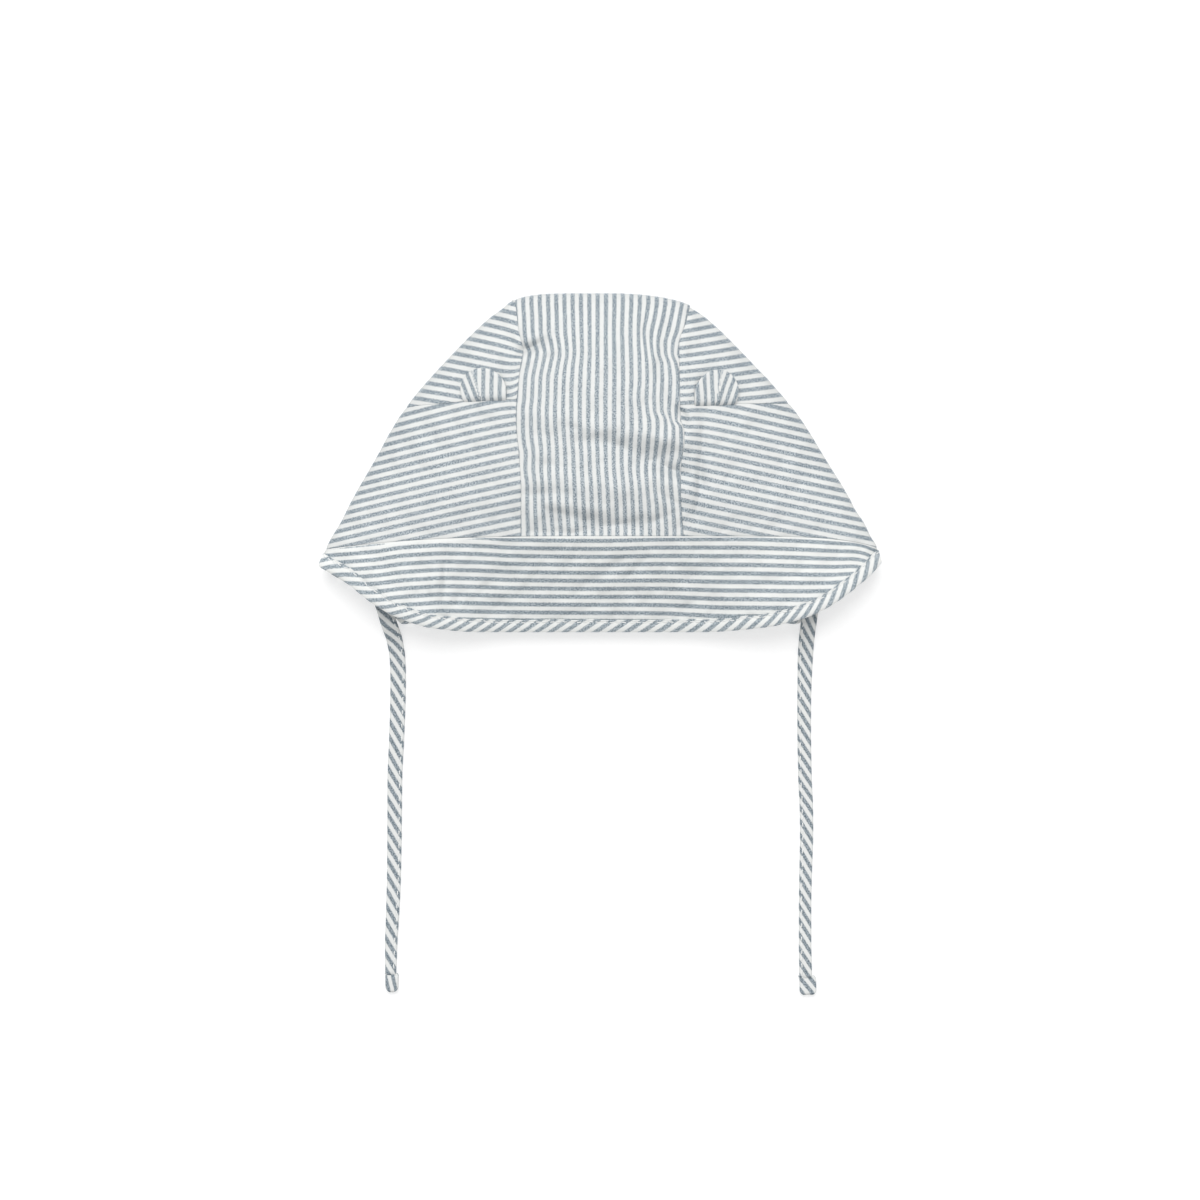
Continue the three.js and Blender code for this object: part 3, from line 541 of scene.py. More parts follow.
def colour(display):
    """The linear colour of a display colour given from 0 to 255."""
    shares = [value / 255 for value in display]
    linear = [s / 12.92 if s <= 0.04045 else ((s + 0.055) / 1.055) ** 2.4 for s in shares]
    return (*linear, 1)


def add_node(tree, kind, inputs, **settings):
    node = tree.nodes.new(kind)
    for name, value in settings.items():
        setattr(node, name, value)
    for name, value in inputs.items():
        if isinstance(value, bpy.types.NodeSocket):
            tree.links.new(value, node.inputs[name])
        else:
            node.inputs[name].default_value = value
    return node


def maths(tree, operation, first, second=0.0):
    inputs = {0: first, 1: second}
    return add_node(tree, "ShaderNodeMath", inputs, operation=operation).outputs[0]


def ramp(tree, value, low, high, start=0.0, end=1.0):
    inputs = dict(enumerate((value, low, high, start, end)))
    node = add_node(tree, "ShaderNodeMapRange", inputs, interpolation_type="SMOOTHSTEP")
    return node.outputs[0]


def noise(tree, vector, scale, detail=2.0, roughness=0.5):
    inputs = {"Vector": vector, "Scale": scale, "Detail": detail, "Roughness": roughness}
    return add_node(tree, "ShaderNodeTexNoise", inputs).outputs["Fac"]


def mixed(tree, share, first, second):
    """Two colours mixed. The node's sockets are numbered, because their names repeat."""
    inputs = {0: share, 6: first, 7: second}
    return add_node(tree, "ShaderNodeMix", inputs, data_type="RGBA").outputs[2]


def new_material(name, roughness):
    material = bpy.data.materials.new(name)
    material.use_nodes = True
    tree = material.node_tree
    shader = tree.nodes["Principled BSDF"]
    shader.inputs["Roughness"].default_value = roughness
    shader.inputs["Specular IOR Level"].default_value = 0.2
    return material, tree, shader


def finish_surface(tree, shader, base, height, strength):
    """Links a colour and a bump of this strength to the shader."""
    inputs = {"Height": height, "Strength": strength, "Distance": BUMP_DEPTH}
    bump = add_node(tree, "ShaderNodeBump", inputs)
    tree.links.new(base, shader.inputs["Base Color"])
    tree.links.new(bump.outputs["Normal"], shader.inputs["Normal"])


def striped_cloth(name, colours):
    """Woven cotton with stripes of white and of blue flecked with white. The stripes are blue
    about each whole stripe number, and both colours are mixed with painted shade where the
    cloth is steep."""
    material, tree, shader = new_material(name, 0.92)
    shader.inputs["Sheen Weight"].default_value = 0.12
    shader.inputs["Sheen Roughness"].default_value = 0.6
    weave = add_node(tree, "ShaderNodeAttribute", {}, attribute_name="weave")
    split = add_node(tree, "ShaderNodeSeparateXYZ", {0: weave.outputs["Vector"]})
    along, number = split.outputs["X"], split.outputs["Y"]
    across = maths(tree, "MULTIPLY", number, STRIPE_PITCH)
    yarns = add_node(tree, "ShaderNodeCombineXYZ", {"X": along, "Y": across}).outputs[0]
    stretched = maths(tree, "MULTIPLY", across, YARN_STRETCH)
    dashes = add_node(tree, "ShaderNodeCombineXYZ", {"X": along, "Y": stretched}).outputs[0]

    fray = ramp(tree, noise(tree, dashes, 1.3), 0.25, 0.75, -FRAY, FRAY)
    wave = maths(tree, "ADD", number, fray)
    wave = maths(tree, "COSINE", maths(tree, "MULTIPLY", wave, math.tau))
    stripe = ramp(tree, wave, -0.5, 0.5)
    flecks = ramp(tree, noise(tree, yarns, 1.5, 1.5, 0.6), 0.39, 0.61)
    patches = noise(tree, yarns, 0.8, 3.0, 0.7)
    light_blue, deep_blue, light_white, deep_white = map(colour, colours)
    # Painted shade: steep cloth turns towards a darker white, and folds towards a darker blue.
    steep = split.outputs["Z"]
    folded = maths(tree, "MULTIPLY", steep, maths(tree, "SUBTRACT", 1.0, steep))
    folded = maths(tree, "MULTIPLY", folded, FOLD_PAINTED_SHADE_SHARE)
    blues = mixed(tree, flecks, deep_blue, light_blue)
    blues = mixed(tree, folded, blues, colour(PAINTED_SHADE_BLUE))
    whites = mixed(tree, patches, deep_white, light_white)
    whites = mixed(tree, steep, whites, colour(PAINTED_SHADE_WHITE))

    warp = maths(tree, "SINE", maths(tree, "MULTIPLY", across, math.tau / WARP_PITCH))
    weft = maths(tree, "SINE", maths(tree, "MULTIPLY", along, math.tau / WEFT_PITCH))
    slub = maths(tree, "MULTIPLY", noise(tree, dashes, 0.9, 3.0, 0.6), 3.0)
    height = maths(tree, "ADD", maths(tree, "MULTIPLY", warp, weft), slub)
    finish_surface(tree, shader, mixed(tree, stripe, whites, blues), height, 0.35)
    return material


def thread_material():
    material, tree, shader = new_material("thread", 0.7)
    place = add_node(tree, "ShaderNodeTexCoord", {}).outputs["Object"]
    fibres = noise(tree, place, 2500.0)
    base = mixed(tree, fibres, colour(DULL_THREAD), colour(THREAD))
    finish_surface(tree, shader, base, fibres, 0.5)
    return material


# Each cloth is a material and its slot in the frame.
cotton = striped_cloth("striped_cotton", CROWN_COLOURS), "striped_cotton"
brim_cotton = striped_cloth("brim_cotton", RIM_COLOURS), "striped_cotton"
tape = striped_cloth("bias_tape", RIM_COLOURS), "bias_tape"
tie_tape = striped_cloth("tie_tape", TIE_COLOURS), "bias_tape"
thread = thread_material(), "bias_tape"

# Where the stripes lie.
# The centre panel's: the height seen from above, then where these stripes pass there.
CENTRE_NUMBERS = (1, 4, 7, 10, 13, 15, 16, 18, 19, 20)
CENTRE_STRIPES = {
    -31.3: (-33.4, -21.9, -10.7, 0.6, 11.8, 19.3, 23.2, 30.8, 34.5, 38.3),
    -20.2: (-33.7, -22.8, -11.4, 0.1, 11.5, 18.9, 22.7, 30, 33.8, 37.6),
    -10.9: (-33.7, -23.2, -11.8, -0.3, 10.9, 18.4, 21.8, 28.9, 32.8, 36.9),
    -2.5: (-34.6, -23.6, -12.2, -0.9, 10.2, 17.6, 21.3, 28.8, 32.5, 36.1),
    3.9: (-34.4, -23.6, -12.4, -1.1, 10, 18, 21.9, 29.4, 33.4, 37.4),
    10.9: (-35.5, -23.9, -12.9, -1.4, 10.4, 18.3, 22.4, 30.4, 34, 37.7),
    16.5: (-35.7, -24.5, -13.2, -1.4, 10.6, 18.8, 22.9, 30.5, 34.1, 37.4),
    19.7: (-35.7, -24.6, -13.3, -1.5, 10.6, 18.7, 22.8, 30.4, 32.9, 35.3),
    24.3: (-35.7, -24.7, -13.3, -1.5, 10.6, 18.4, 22, 28.6, 32, 35.3),
    29.9: (-35.1, -24.4, -13.3, -1.5, 10.6, 17.8, 21.6, 28.5, 32.3, 36),
    39.2: (-34.6, -24.1, -13, -1.3, 10.7, 18.5, 21.9, 28.8, 32.6, 36.2),
    45.7: (-33.4, -22.9, -12.5, -1.2, 10.6, 18.4, 21.7, 28.6, 32, 35.2),
    50.8: (-32.6, -22, -11.9, -1.2, 10.5, 18.3, 21.3, 27.1, 30.5, 33.5),
    55.4: (-34.3, -22.6, -12, -1.2, 10.4, 18, 20.7, 26.8, 30.3, 33.8),
    60.5: (-34.9, -23.7, -12.3, -1.1, 10.2, 18, 20.3, 27.6, 31.5, 35.4),
    67: (-35.2, -23.8, -12.5, -1.1, 10.4, 18.1, 21.4, 29.2, 33, 36.8),
    73.5: (-35.6, -24.1, -12.7, -1.1, 10.6, 18.5, 22.4, 30.3, 34.3, 38),
}

# Stripe number of a side panel: at the row SIDE_ROW beside the centre panel, and for each
# 100 mm out and down from there: out, down, out squared, out times down, and down squared.
SIDE_ROW = 28
SIDE_STRIPES = {
    "side_upper_left": (9.23, 5.6, 26.2, -1.92, -0.99, 2.49),
    "side_upper_right": (9.9, 1.33, 28.42, 1.51, -8.74, 3.42),
    "side_lower_left": (-0.18, -5.78, 24.64, -0.86, 1.71, 0.04),
    "side_lower_right": (-0.07, -5.72, 24.36, 0.02, 1.19, -0.08),
}

# Beside the centre panel the seams pull the stripes: where the pull starts, how far it reaches,
# and the height seen from above against the stripes that it takes off.
SIDE_TUGS = {
    "side_upper_left": (37.5, 3.4, {
        30.3: -1.34, 33.3: -1.16, 36.7: -1.06, 39.8: -0.86, 42.9: -0.6, 46.1: -0.4,
        48.9: -0.12, 51.7: 0.22, 55.4: 0.27, 60: 0.18, 64.2: 0.12, 67: 0,
    }),
    "side_lower_left": (38.5, 6.5, {
        2.5: 0, 6.3: 0.07, 10.4: 0.1, 14.1: 0.15, 17.8: 0.2, 22: 0.26, 25.3: 0.43, 29: 0.5,
    }),
    "side_lower_right": (40.8, 7.2, {
        -24.3: 0, -17.8: -0.06, -13.7: -0.1, -9.5: -0.12, -5.3: -0.08, -1.6: -0.03, 1.6: 0.12,
        5.3: 0.24, 9.5: 0.25, 13.2: 0.35, 16.5: 0.54, 20.2: 0.65, 23.9: 0.73, 26.7: 0.78,
    }),
}

# The brim's stripes: across as a share of half the hat's width, how far the first stripe
# drops below BRIM_ROW, and the stripes' pitch.
BRIM_ROW = -36.5
BRIM_STRIPE_DROP = {
    -1: 3.2, -0.91: 2.35, -0.8: 1, -0.71: -0.9, -0.63: -1.6, -0.57: -2, -0.425: -1.6,
    -0.31: -0.7, 0: -0.2, 0.23: -0.85, 0.48: -1.05, 0.7: -0.2, 0.83: 0.8, 0.9: 1.3,
    0.935: 1.9, 0.974: 3.7, 1: 5.2,
}
BRIM_STRIPE_PITCH = {
    -0.91: 3.61, -0.8: 3.71, -0.71: 3.81, -0.425: 3.8, -0.31: 3.73, 0: 3.71, 0.23: 3.81,
    0.48: 3.98, 0.7: 3.89, 0.83: 3.68, 0.91: 3.4,
}


def from_above(points):
    """Where points show in a plan drawn from the middle of the scene, at the camera's height."""
    grow = CAMERA_HEIGHT / (CAMERA_HEIGHT - points[..., 2])
    return points[..., 0] * grow, CAMERA_Y + (points[..., 1] - CAMERA_Y) * grow


def centre_weave(points):
    """The centre panel's stripes run up and down."""
    x, y = from_above(points)
    columns = zip(*CENTRE_STRIPES.values())
    places = [through(dict(zip(CENTRE_STRIPES, column)))(y) for column in columns]
    number = CENTRE_NUMBERS[0] + (x - places[0]) / STRIPE_PITCH
    for i in range(len(places) - 1):
        share = (x - places[i]) / (places[i + 1] - places[i])
        here = lerp(CENTRE_NUMBERS[i], CENTRE_NUMBERS[i + 1], share)
        number = np.where(x > places[i], here, number)
    return y, number


def side_weave(name, points):
    x, y = from_above(points)
    start, out, down, bend, fan, spread = SIDE_STRIPES[name]
    a, b = (np.abs(x) - PANEL_HALF) / 100, (SIDE_ROW - y) / 100
    number = start + out * a + down * b + bend * a * a + fan * a * b + spread * b * b
    if name in SIDE_TUGS:
        begin, reach, tugs = SIDE_TUGS[name]
        number = number - through(tugs)(y) * np.exp(-np.maximum(0, np.abs(x) - begin) / reach)
    return x, number


def brim_weave(from_seam, points):
    """The brim's stripes run across, and turn white close to its seam."""
    x, y = from_above(points)
    across = x / HALF_WIDTH
    drop, pitch = through(BRIM_STRIPE_DROP)(across), through(BRIM_STRIPE_PITCH)(across)
    number = (BRIM_ROW - y - drop) / pitch
    return x, lerp(number, np.floor(number) + 0.5, np.exp(-((from_seam / WHITE_EDGE) ** 2)))


def flap_weave(points):
    return points[..., 0], (BRIM_ROW - points[..., 1]) / STRIPE_PITCH


# The crown.
TURNED = 1 - np.cos(np.linspace(math.pi / 2, 0, 12)[1:])  # distances from a fold, round it


def fine_relief(x, y):
    """Small unevenness of the front cloth."""
    return 0.22 * ripple(x, y, 13, 1) + 0.07 * ripple(x, y, 5, 2)


def sewn(middle, front):
    """The middle of a panel's cloth, drawn in along its seams, with its small unevenness."""
    inset = edge_distance(middle)
    normal = grid_normals(middle)
    sink = SEAM_SINK * np.exp(-((inset / SEAM_REACH) ** 2))
    x, y = middle[..., 0], middle[..., 1]
    fade = round_share(inside_edge(x, y), FOLD_SPREAD) * front * smoothstep(0, 3, inset)
    return middle + normal * (fine_relief(x, y) * fade - sink)[..., None]


def centre_panel():
    columns = 2 * stations(CENTRE_PANEL_WIDTH, GRAIN) - 1
    flat, fold = CROWN_LENGTH - FOLD_SPREAD, FOLD_SPREAD / CROWN_LENGTH
    ends, even = EDGE_STEPS / CROWN_LENGTH, EDGE_END / CROWN_LENGTH
    up = np.linspace(even, 1 - fold, round(flat / GRAIN))
    over = 1 - fold * TURNED
    down = np.linspace(1 - fold, even, round(flat / COARSE))
    rows = np.concatenate([ends, up, over, over[-2::-1], down, ends[::-1]])
    front = (np.arange(len(rows)) < len(ends) + len(up) + len(over))[:, None]
    half = {}
    for side in SIDES:
        mirror = mirror_of(side)
        out = np.full(len(rows), PANEL_HALF)
        for _ in range(4):  # the seam's X and the rows' Y depend on each other
            y = lerp(rim_y(mirror * out), top_edge_y(mirror * out), rows)
            out = seam_x(side, y)
        half[side] = (out - VISIBLE_GAP / 2)[:, None]
    x = columns * np.where(columns < 0, half["left"], half["right"])
    y = lerp(rim_y(x) + VISIBLE_GAP / 2, top_edge_y(x), rows[:, None])
    middle = sewn(crown_point(x, y, front), front)
    add_cloth("crown_centre", middle, CLOTH, centre_weave, cotton, ["crown_centre_panel"])


def side_panel(side, name, rows, lower):
    """A panel from its seam beside the centre panel, out to the fold and round to the back.
    rows gives the Y of each row at that seam and at the fold."""
    mirror = mirror_of(side)
    inner, fold = (values[:, None] for values in rows)
    level = np.linspace(0, 1, len(inner))[:, None]
    start = seam_x(side, inner) + VISIBLE_GAP / 2
    end = half_width(mirror, fold)
    width = end - start
    spread = np.minimum(FOLD_SPREAD / outline_cosine(mirror, fold), 0.75 * width)
    longest = float(width.max())
    ends, even = EDGE_STEPS / longest, EDGE_END / longest
    out = np.concatenate([ends, np.linspace(even, 1, round(longest / GRAIN))])
    back = np.concatenate([np.linspace(1, even, round(longest / COARSE)), ends[::-1]])
    flat = width - spread
    over, under = width - spread * TURNED, width - spread * TURNED[-2::-1]
    x = start + np.concatenate([out * flat, over, under, back * flat], axis=1)
    front = (np.arange(x.shape[1]) < len(out) + len(TURNED))[None, :]
    share = (x - start) / width
    y = lerp(inner, fold, share)
    ear_line = ear_seam_y(mirror * x) - (1 if lower else -1) * VISIBLE_GAP / 2
    near_ear = level if lower else 1 - level
    y = y + near_ear**3 * (ear_line - y[-1 if lower else 0])
    if lower:
        straight = lerp(rim_y(mirror * start), y_at(RIM_FOLD[side]), share)
        y = y + (1 - level) ** 3 * (rim_y(mirror * x) - straight)
    x = mirror * np.minimum(x, half_width(mirror, y))
    middle = crown_point(x, y, front)
    thickness = np.minimum(CLOTH, TIP_SHARE * width) * np.ones_like(x)
    if side == "left":
        middle, thickness = middle[::-1], thickness[::-1]
    weave = partial(side_weave, name)
    add_cloth(f"{name}_cloth", sewn(middle, front), thickness, weave, cotton, [name])


def side_panels(side):
    mirror = mirror_of(side)
    gap = VISIBLE_GAP / 2
    ear = float(ear_seam_y(mirror * PANEL_HALF))
    rim = float(rim_y(mirror * seam_x(side, SEAM_Y)))
    corner = float(top_edge_y(mirror * seam_x(side, TOP_Y)))
    ear_fold = float(ear_seam_y(mirror * half_width(mirror, ear)))
    rim_fold = y_at(RIM_FOLD[side])
    tip = corner + TIP_RISE
    low = stations(ear - rim, GRAIN)
    high = stations(tip - ear, GRAIN)
    lower = lerp(rim + gap, ear - gap, low), lerp(rim_fold + gap, ear_fold - gap, low)
    upper = lerp(ear + gap, tip, high), lerp(ear_fold + gap, tip + TIP_RISE, high)
    side_panel(side, f"side_lower_{side}", lower, True)
    side_panel(side, f"side_upper_{side}", upper, False)


# The rim: brim, neck flap and binding.
CORNER_TURN = math.radians(89.3)  # the brim and flap meet this far round, in the corner folds


def evenly_round(start, end, pitch, along):
    """Angles round the rim at even distances on the line at this share from seam to edge."""
    fine = np.linspace(start, end, 4001)
    line = rim_point(fine, np.full(len(fine), along))
    travelled = travelled_along(line)
    places = stations(travelled[-1], pitch) * travelled[-1]
    return np.interp(places, travelled, fine)


def rim_cloth(front):
    pitch = GRAIN if front else COARSE
    angle = evenly_round(-CORNER_TURN, CORNER_TURN, pitch, 0.5)
    angle = (angle if front else math.pi - angle)[None, :]
    seam, edge, _ = rim_line(angle)
    reach = np.linalg.norm(edge - seam, axis=-1)
    end = 1 - (BINDING_WIDTH - BINDING_BITE) / reach
    rows = stations(BRIM_DEPTH, pitch)[:, None]
    along = lerp(VISIBLE_GAP / 2 / reach, end, rows)
    middle = rim_point(angle + np.zeros_like(along), along)
    from_seam = along * reach
    if front:
        middle, from_seam = middle[::-1], from_seam[::-1]
    x, y = middle[..., 0], middle[..., 1]
    lift = -SEAM_SINK * np.exp(-((from_seam / SEAM_REACH) ** 2))
    if front:
        relief = fine_relief(x, y) + folds(x, y, BRIM_FOLDS)
        lift = lift + relief * smoothstep(0, 3, edge_distance(middle))
    middle = middle + grid_normals(middle) * lift[..., None]
    name, node = ("brim_cloth", "front_brim") if front else ("flap_cloth", "neck_flap")
    weave = partial(brim_weave, from_seam) if front else flap_weave
    add_cloth(name, middle, CLOTH, weave, brim_cotton, [node])


def smoothed(rows):
    """Rows smoothed round a closed ring."""
    for _ in range(4):
        rows = (np.roll(rows, 1, axis=0) + 2 * rows + np.roll(rows, -1, axis=0)) / 4
    return rows


def binding_frames():
    """Points round the bound edge with their directions, starting at the middle of the back."""
    fine = np.linspace(-math.pi, math.pi, 6001)
    edge = rim_line(fine)[1]
    travelled = travelled_along(edge)
    count = round(travelled[-1] / GRAIN)
    angle = np.interp(np.linspace(0, travelled[-1], count + 1)[:-1], travelled, fine)
    seam, edge, front = rim_line(angle)
    step, near = 1e-3, np.full(count, 0.9)
    inward = unit(rim_point(angle, near) - edge)
    outward = rim_point(angle, near) - rim_point(angle, near - step)
    ahead = rim_point(angle + step, near) - rim_point(angle - step, near)
    normal = unit(np.cross(outward, ahead))
    tangent = unit(rim_line(angle + step)[1] - rim_line(angle - step)[1])
    shear = np.sum(tangent * inward, axis=1)
    slant = np.sqrt(1 - shear**2)
    width = np.minimum(BINDING_WIDTH / slant, np.linalg.norm(edge - seam, axis=1) - 0.3)
    inward, normal = unit(smoothed(inward)), unit(smoothed(normal))
    place = np.interp(angle, fine, travelled) - travelled[-1] / 2
    squeeze = lerp(CORNER_SQUEEZE, 1, np.abs(normal[:, 2]))
    return dict(
        edge=edge, inward=inward, normal=normal, width=width, slant=slant, shear=shear,
        place=place, squeeze=squeeze,
    )


def tape_number(place):
    """Stripe number at a place along the bound edge."""
    counted = np.clip(place, min(TAPE_STRIPES), max(TAPE_STRIPES))
    return through(TAPE_STRIPES)(counted) + (place - counted) / TAPE_PITCH


def edge_binding():
    ring = binding_frames()
    half = BINDING_THICKNESS / 2
    slot = half - BINDING_WALL
    shoulder = BINDING_ROUNDING * half * 2
    place = ring["place"]
    width = ring["width"] + BINDING_WANDER * ripple(place, 0 * place, 11, 5)
    lip = (1, 0.99, 0.965, 0.93, 0.86, 0.78, 0.7, 0.6, 0.48, 0.36, 0.25)
    # Each line round the ring: how far back from the edge, how far off its plane, and whether
    # it is the binding's outer lip.
    upper = [(shoulder + (width - shoulder) * share, half, share == 1) for share in lip]
    nose = [
        (shoulder * (1 - math.sin(turn)) + 0 * width, half * math.cos(turn), False)
        for turn in np.linspace(0, math.pi, 11)[1:-1]
    ]
    lower = [(back, -half, is_lip) for back, _, is_lip in upper[::-1]]
    floor = BINDING_WIDTH - BINDING_BITE - BINDING_EASE + 0 * width
    inner = [(width, -slot), (floor, -slot), (floor, slot), (width, slot)]
    rows, weave = [], []
    for back, off, is_lip in upper + nose + lower + [(*line, False) for line in inner]:
        from_stitches = (width - back - STITCH_INSET) / BINDING_PRESS_REACH
        press = BINDING_PRESS * np.exp(-(from_stitches**2)) * (abs(off) == half)
        gathered = 1 + GATHERS * np.cos(math.tau * place / STITCH_PITCH)
        height = off - np.sign(off) * (press * gathered + LIP_ROUND * is_lip)
        point = ring["edge"] + ring["inward"] * back[:, None]
        rows.append(point + ring["normal"] * (height * ring["squeeze"])[:, None])
        across = np.where(off >= 0, 1, -1) * back * ring["slant"]
        foot = place + back * ring["shear"]
        number = tape_number(foot - (across - TAPE_MIDDLE) / math.tan(TAPE_ANGLE))
        along = foot * math.cos(TAPE_ANGLE) + across * math.sin(TAPE_ANGLE)
        weave.append(np.stack([along, number, 0 * number], axis=-1))
    points = np.stack(rows, axis=1)
    ids = np.arange(points.size // 3).reshape(points.shape[:2])
    faces = quads(np.concatenate([ids, ids[:, :1]], axis=1))
    values = np.stack(weave, axis=1).reshape(-1, 3)
    points = points.reshape(-1, 3)
    close_ends(add_piece("binding_tape", points, faces, values, tape, ["edge_binding"]))
    return ring | {"width": width}


def close_ends(obj):
    """Caps the open ends of a strip and turns its faces outwards."""
    work = bmesh.new()
    work.from_mesh(obj.data)
    bmesh.ops.holes_fill(work, edges=[e for e in work.edges if e.is_boundary], sides=0)
    bmesh.ops.recalc_face_normals(work, faces=work.faces)
    work.to_mesh(obj.data)
    work.free()


# The ears.
EAR_DIP = 0.25  # the base starts this far below its seam
EAR_SINK = 0.3  # and this far under the cloth
EAR_RISE = 1.1  # and most of it is out this far up
EAR_CLEARANCE = 0.15
EAR_RIM = 0.995  # share of half the width that the outermost points reach
# Each ear's stripes to the left and to the right of its pleat: place of one stripe across the
# base, its lean outwards for each millimetre up, and the pitch.
EAR_STRIPES = {
    "left": ((-2.85, -0.32, 3.75), (-0.45, 0.107, 3.75)),
    "right": ((-1, -0.125, 3.55), (0.55, 0.305, 3.62)),
}


def ear(side):
    wide, high, lean, tuck, tuck_slope = EARS[side]
    lean = math.radians(lean)
    mirror = mirror_of(side)
    offset = mirror * (PANEL_HALF + EAR_INSET)
    u = EAR_RIM * (2 * stations(wide, FINE) - 1)[None, :]
    v = stations(high, FINE)[:, None]
    arc = np.sqrt(np.maximum(0, 1 - np.abs(u) ** EAR_ROUNDNESS))
    share = v * lerp(EAR_SHOULDER, 1, arc)
    across = wide / 2 * u * (1 + EAR_BULGE * np.sin(math.pi * share**0.7))
    up = high * share
    x = offset + across * math.cos(lean) + up * math.sin(lean)
    y = ear_seam_y(offset + across) - EAR_DIP + up * math.cos(lean)
    from_tuck = mirror * (2 * across / wide - (tuck + tuck_slope * share))
    pleat = np.exp(np.where(from_tuck > 0, -from_tuck / PLEAT["soft"], from_tuck / PLEAT["steep"]))
    stand = EAR_SPRING * share**2 + EAR_TUCK * pleat * (1 - PLEAT["fade"] * share)
    ground = crown_point(x, y, True)
    out_of_seam = 1 - np.exp(-up / EAR_RISE)
    clear = CLOTH / 2 + EAR_CLEARANCE + EAR_CLOTH / 2 + stand
    lift = lerp(-EAR_SINK, clear, out_of_seam)
    middle = ground + grid_normals(ground) * lift[..., None]
    numbers = [(across - base - slope * up) / pitch for base, slope, pitch in EAR_STRIPES[side]]
    number = np.where(mirror * from_tuck < 0, *numbers)
    add_cloth(
        f"ear_{side}_cloth", middle, EAR_CLOTH, lambda _: (up, number), cotton, [f"ear_{side}"],
        rounding=0.8, edge_share=FREE_EDGE,
    )


# The ties.
TIE_STEPS = 200


def tie_route(side):
    """Evenly spaced points along a tie, in three dimensions."""
    points = np.array(TIE_ROUTES[side], dtype=float)
    place = travelled_along(points)
    fine = np.linspace(0, place[-1], 2000)
    plan = np.stack([through(dict(zip(place, column)))(fine) for column in points.T], axis=1)
    travelled = travelled_along(plan)
    wanted = np.linspace(0, travelled[-1], TIE_STEPS + 1)
    high = BINDING_THICKNESS + TIE_GAP + TIE_THICKNESS / 2
    z = lerp(high, TIE_THICKNESS / 2, smoothstep(TIE_ON_BINDING, TIE_LANDING, wanted))
    return np.column_stack([rows_at(wanted, travelled, plan), z])


TIE_WIDTHS = {
    "left": {0: 7.5, 0.15: 7.2, 0.4: 6.9, 0.75: 6.4, 0.92: 5.7, 1: 5},
    "right": {0: 7.5, 0.15: 7, 0.25: 6.4, 0.6: 6.1, 0.8: 5.7, 1: 5.8},
}
TIE_STITCH_INSET = 1.2
TIE_PRESS = 0.18  # how deep the stitches press the tie
TIE_PRESS_REACH = 0.6
TIE_STRIPES = {"left": (7.05, 0.1), "right": (6.5, 0.3)}  # pitch along the tie, and start
TIE_ANGLE = math.radians(32)


def tie(side):
    route = tie_route(side)
    along = unit(np.gradient(route, axis=0))
    across = unit(np.cross(along, UP))
    place = travelled_along(route)
    width = through(TIE_WIDTHS[side])(place / place[-1])[:, None]
    w = width * (stations(TIE_WIDTH, FINE) - 0.5)[None, :]
    middle = route[:, None, :] - across[:, None, :] * w[..., None]
    middle = np.concatenate([middle, middle[-1:] + along[-1] * TIE_END_TUCK])
    pitch, start = TIE_STRIPES[side]
    w = np.concatenate([w, w[-1:]])
    a = np.append(place, place[-1] + TIE_END_TUCK)[:, None] + 0 * w
    number = start + (a - w / math.tan(TIE_ANGLE)) / pitch
    length_along = a * math.cos(TIE_ANGLE) + w * math.sin(TIE_ANGLE)
    sewn_edge = -mirror_of(side) * (width / 2 - TIE_STITCH_INSET)
    from_stitches = w - np.concatenate([sewn_edge, sewn_edge[-1:]])
    press = TIE_PRESS * np.exp(-((from_stitches / TIE_PRESS_REACH) ** 2))
    obj = add_cloth(
        f"tie_{side}_tape", middle[::-1], (TIE_THICKNESS - 2 * press)[::-1],
        lambda _: (length_along[::-1], number[::-1]), tie_tape, [f"tie_{side}"],
        rounding=0.7, edge_share=FREE_EDGE,
    )
    at = np.arange(STITCH_PITCH, place[-1] - 1, STITCH_PITCH)
    spot, aside, ahead = (rows_at(at, place, r) for r in (route, across * -sewn_edge, along))
    centres = spot + aside + UP * (TIE_THICKNESS / 2 - TIE_PRESS)
    stitches(f"tie_{side}_stitches", centres, unit(ahead))
    return obj, route, place[-1]


def tie_end(side, route):
    """The free end, folded back on itself."""
    width, shift, rounding, begin, angle, pitch = TIE_ENDS[side]
    layer = TIE_END_THICKNESS / 2
    reach = TIE_END_LENGTH - layer
    turn = np.linspace(-math.pi / 2, math.pi / 2, 9)[1:-1]
    lower, upper = np.linspace(TIE_GAP, reach, 16), np.linspace(reach, begin, 16)
    a = np.concatenate([lower, reach + layer / 2 * np.cos(turn), upper])[:, None]
    z = np.concatenate([0 * lower - 1, np.sin(turn), 0 * upper + 1]) * layer / 2 + layer
    along = unit(route[-1] - route[-3])
    across = unit(np.cross(along, UP))
    short = np.maximum(0, rounding - (TIE_END_LENGTH - layer / 2 - a))
    half = width / 2 - rounding + np.sqrt(np.maximum(0.01, rounding**2 - short**2))
    w = half * (2 * stations(width, 0.5) - 1)[None, :]
    aside = (w + shift * smoothstep(0, TIE_END_SET, a))[..., None] * across
    middle = route[-1] * (1 - UP) + a[..., None] * along - aside
    middle[..., 2] += z[:, None]
    turn = math.radians(angle)
    number = (a * math.sin(turn) - w * math.cos(turn)) / pitch
    return add_cloth(
        f"tie_{side}_fold", middle, layer - LAYER_GAP, lambda _: (a, number), tie_tape,
        [f"tie_end_{side}"], rounding=0.6, edge_share=FREE_EDGE,
    )


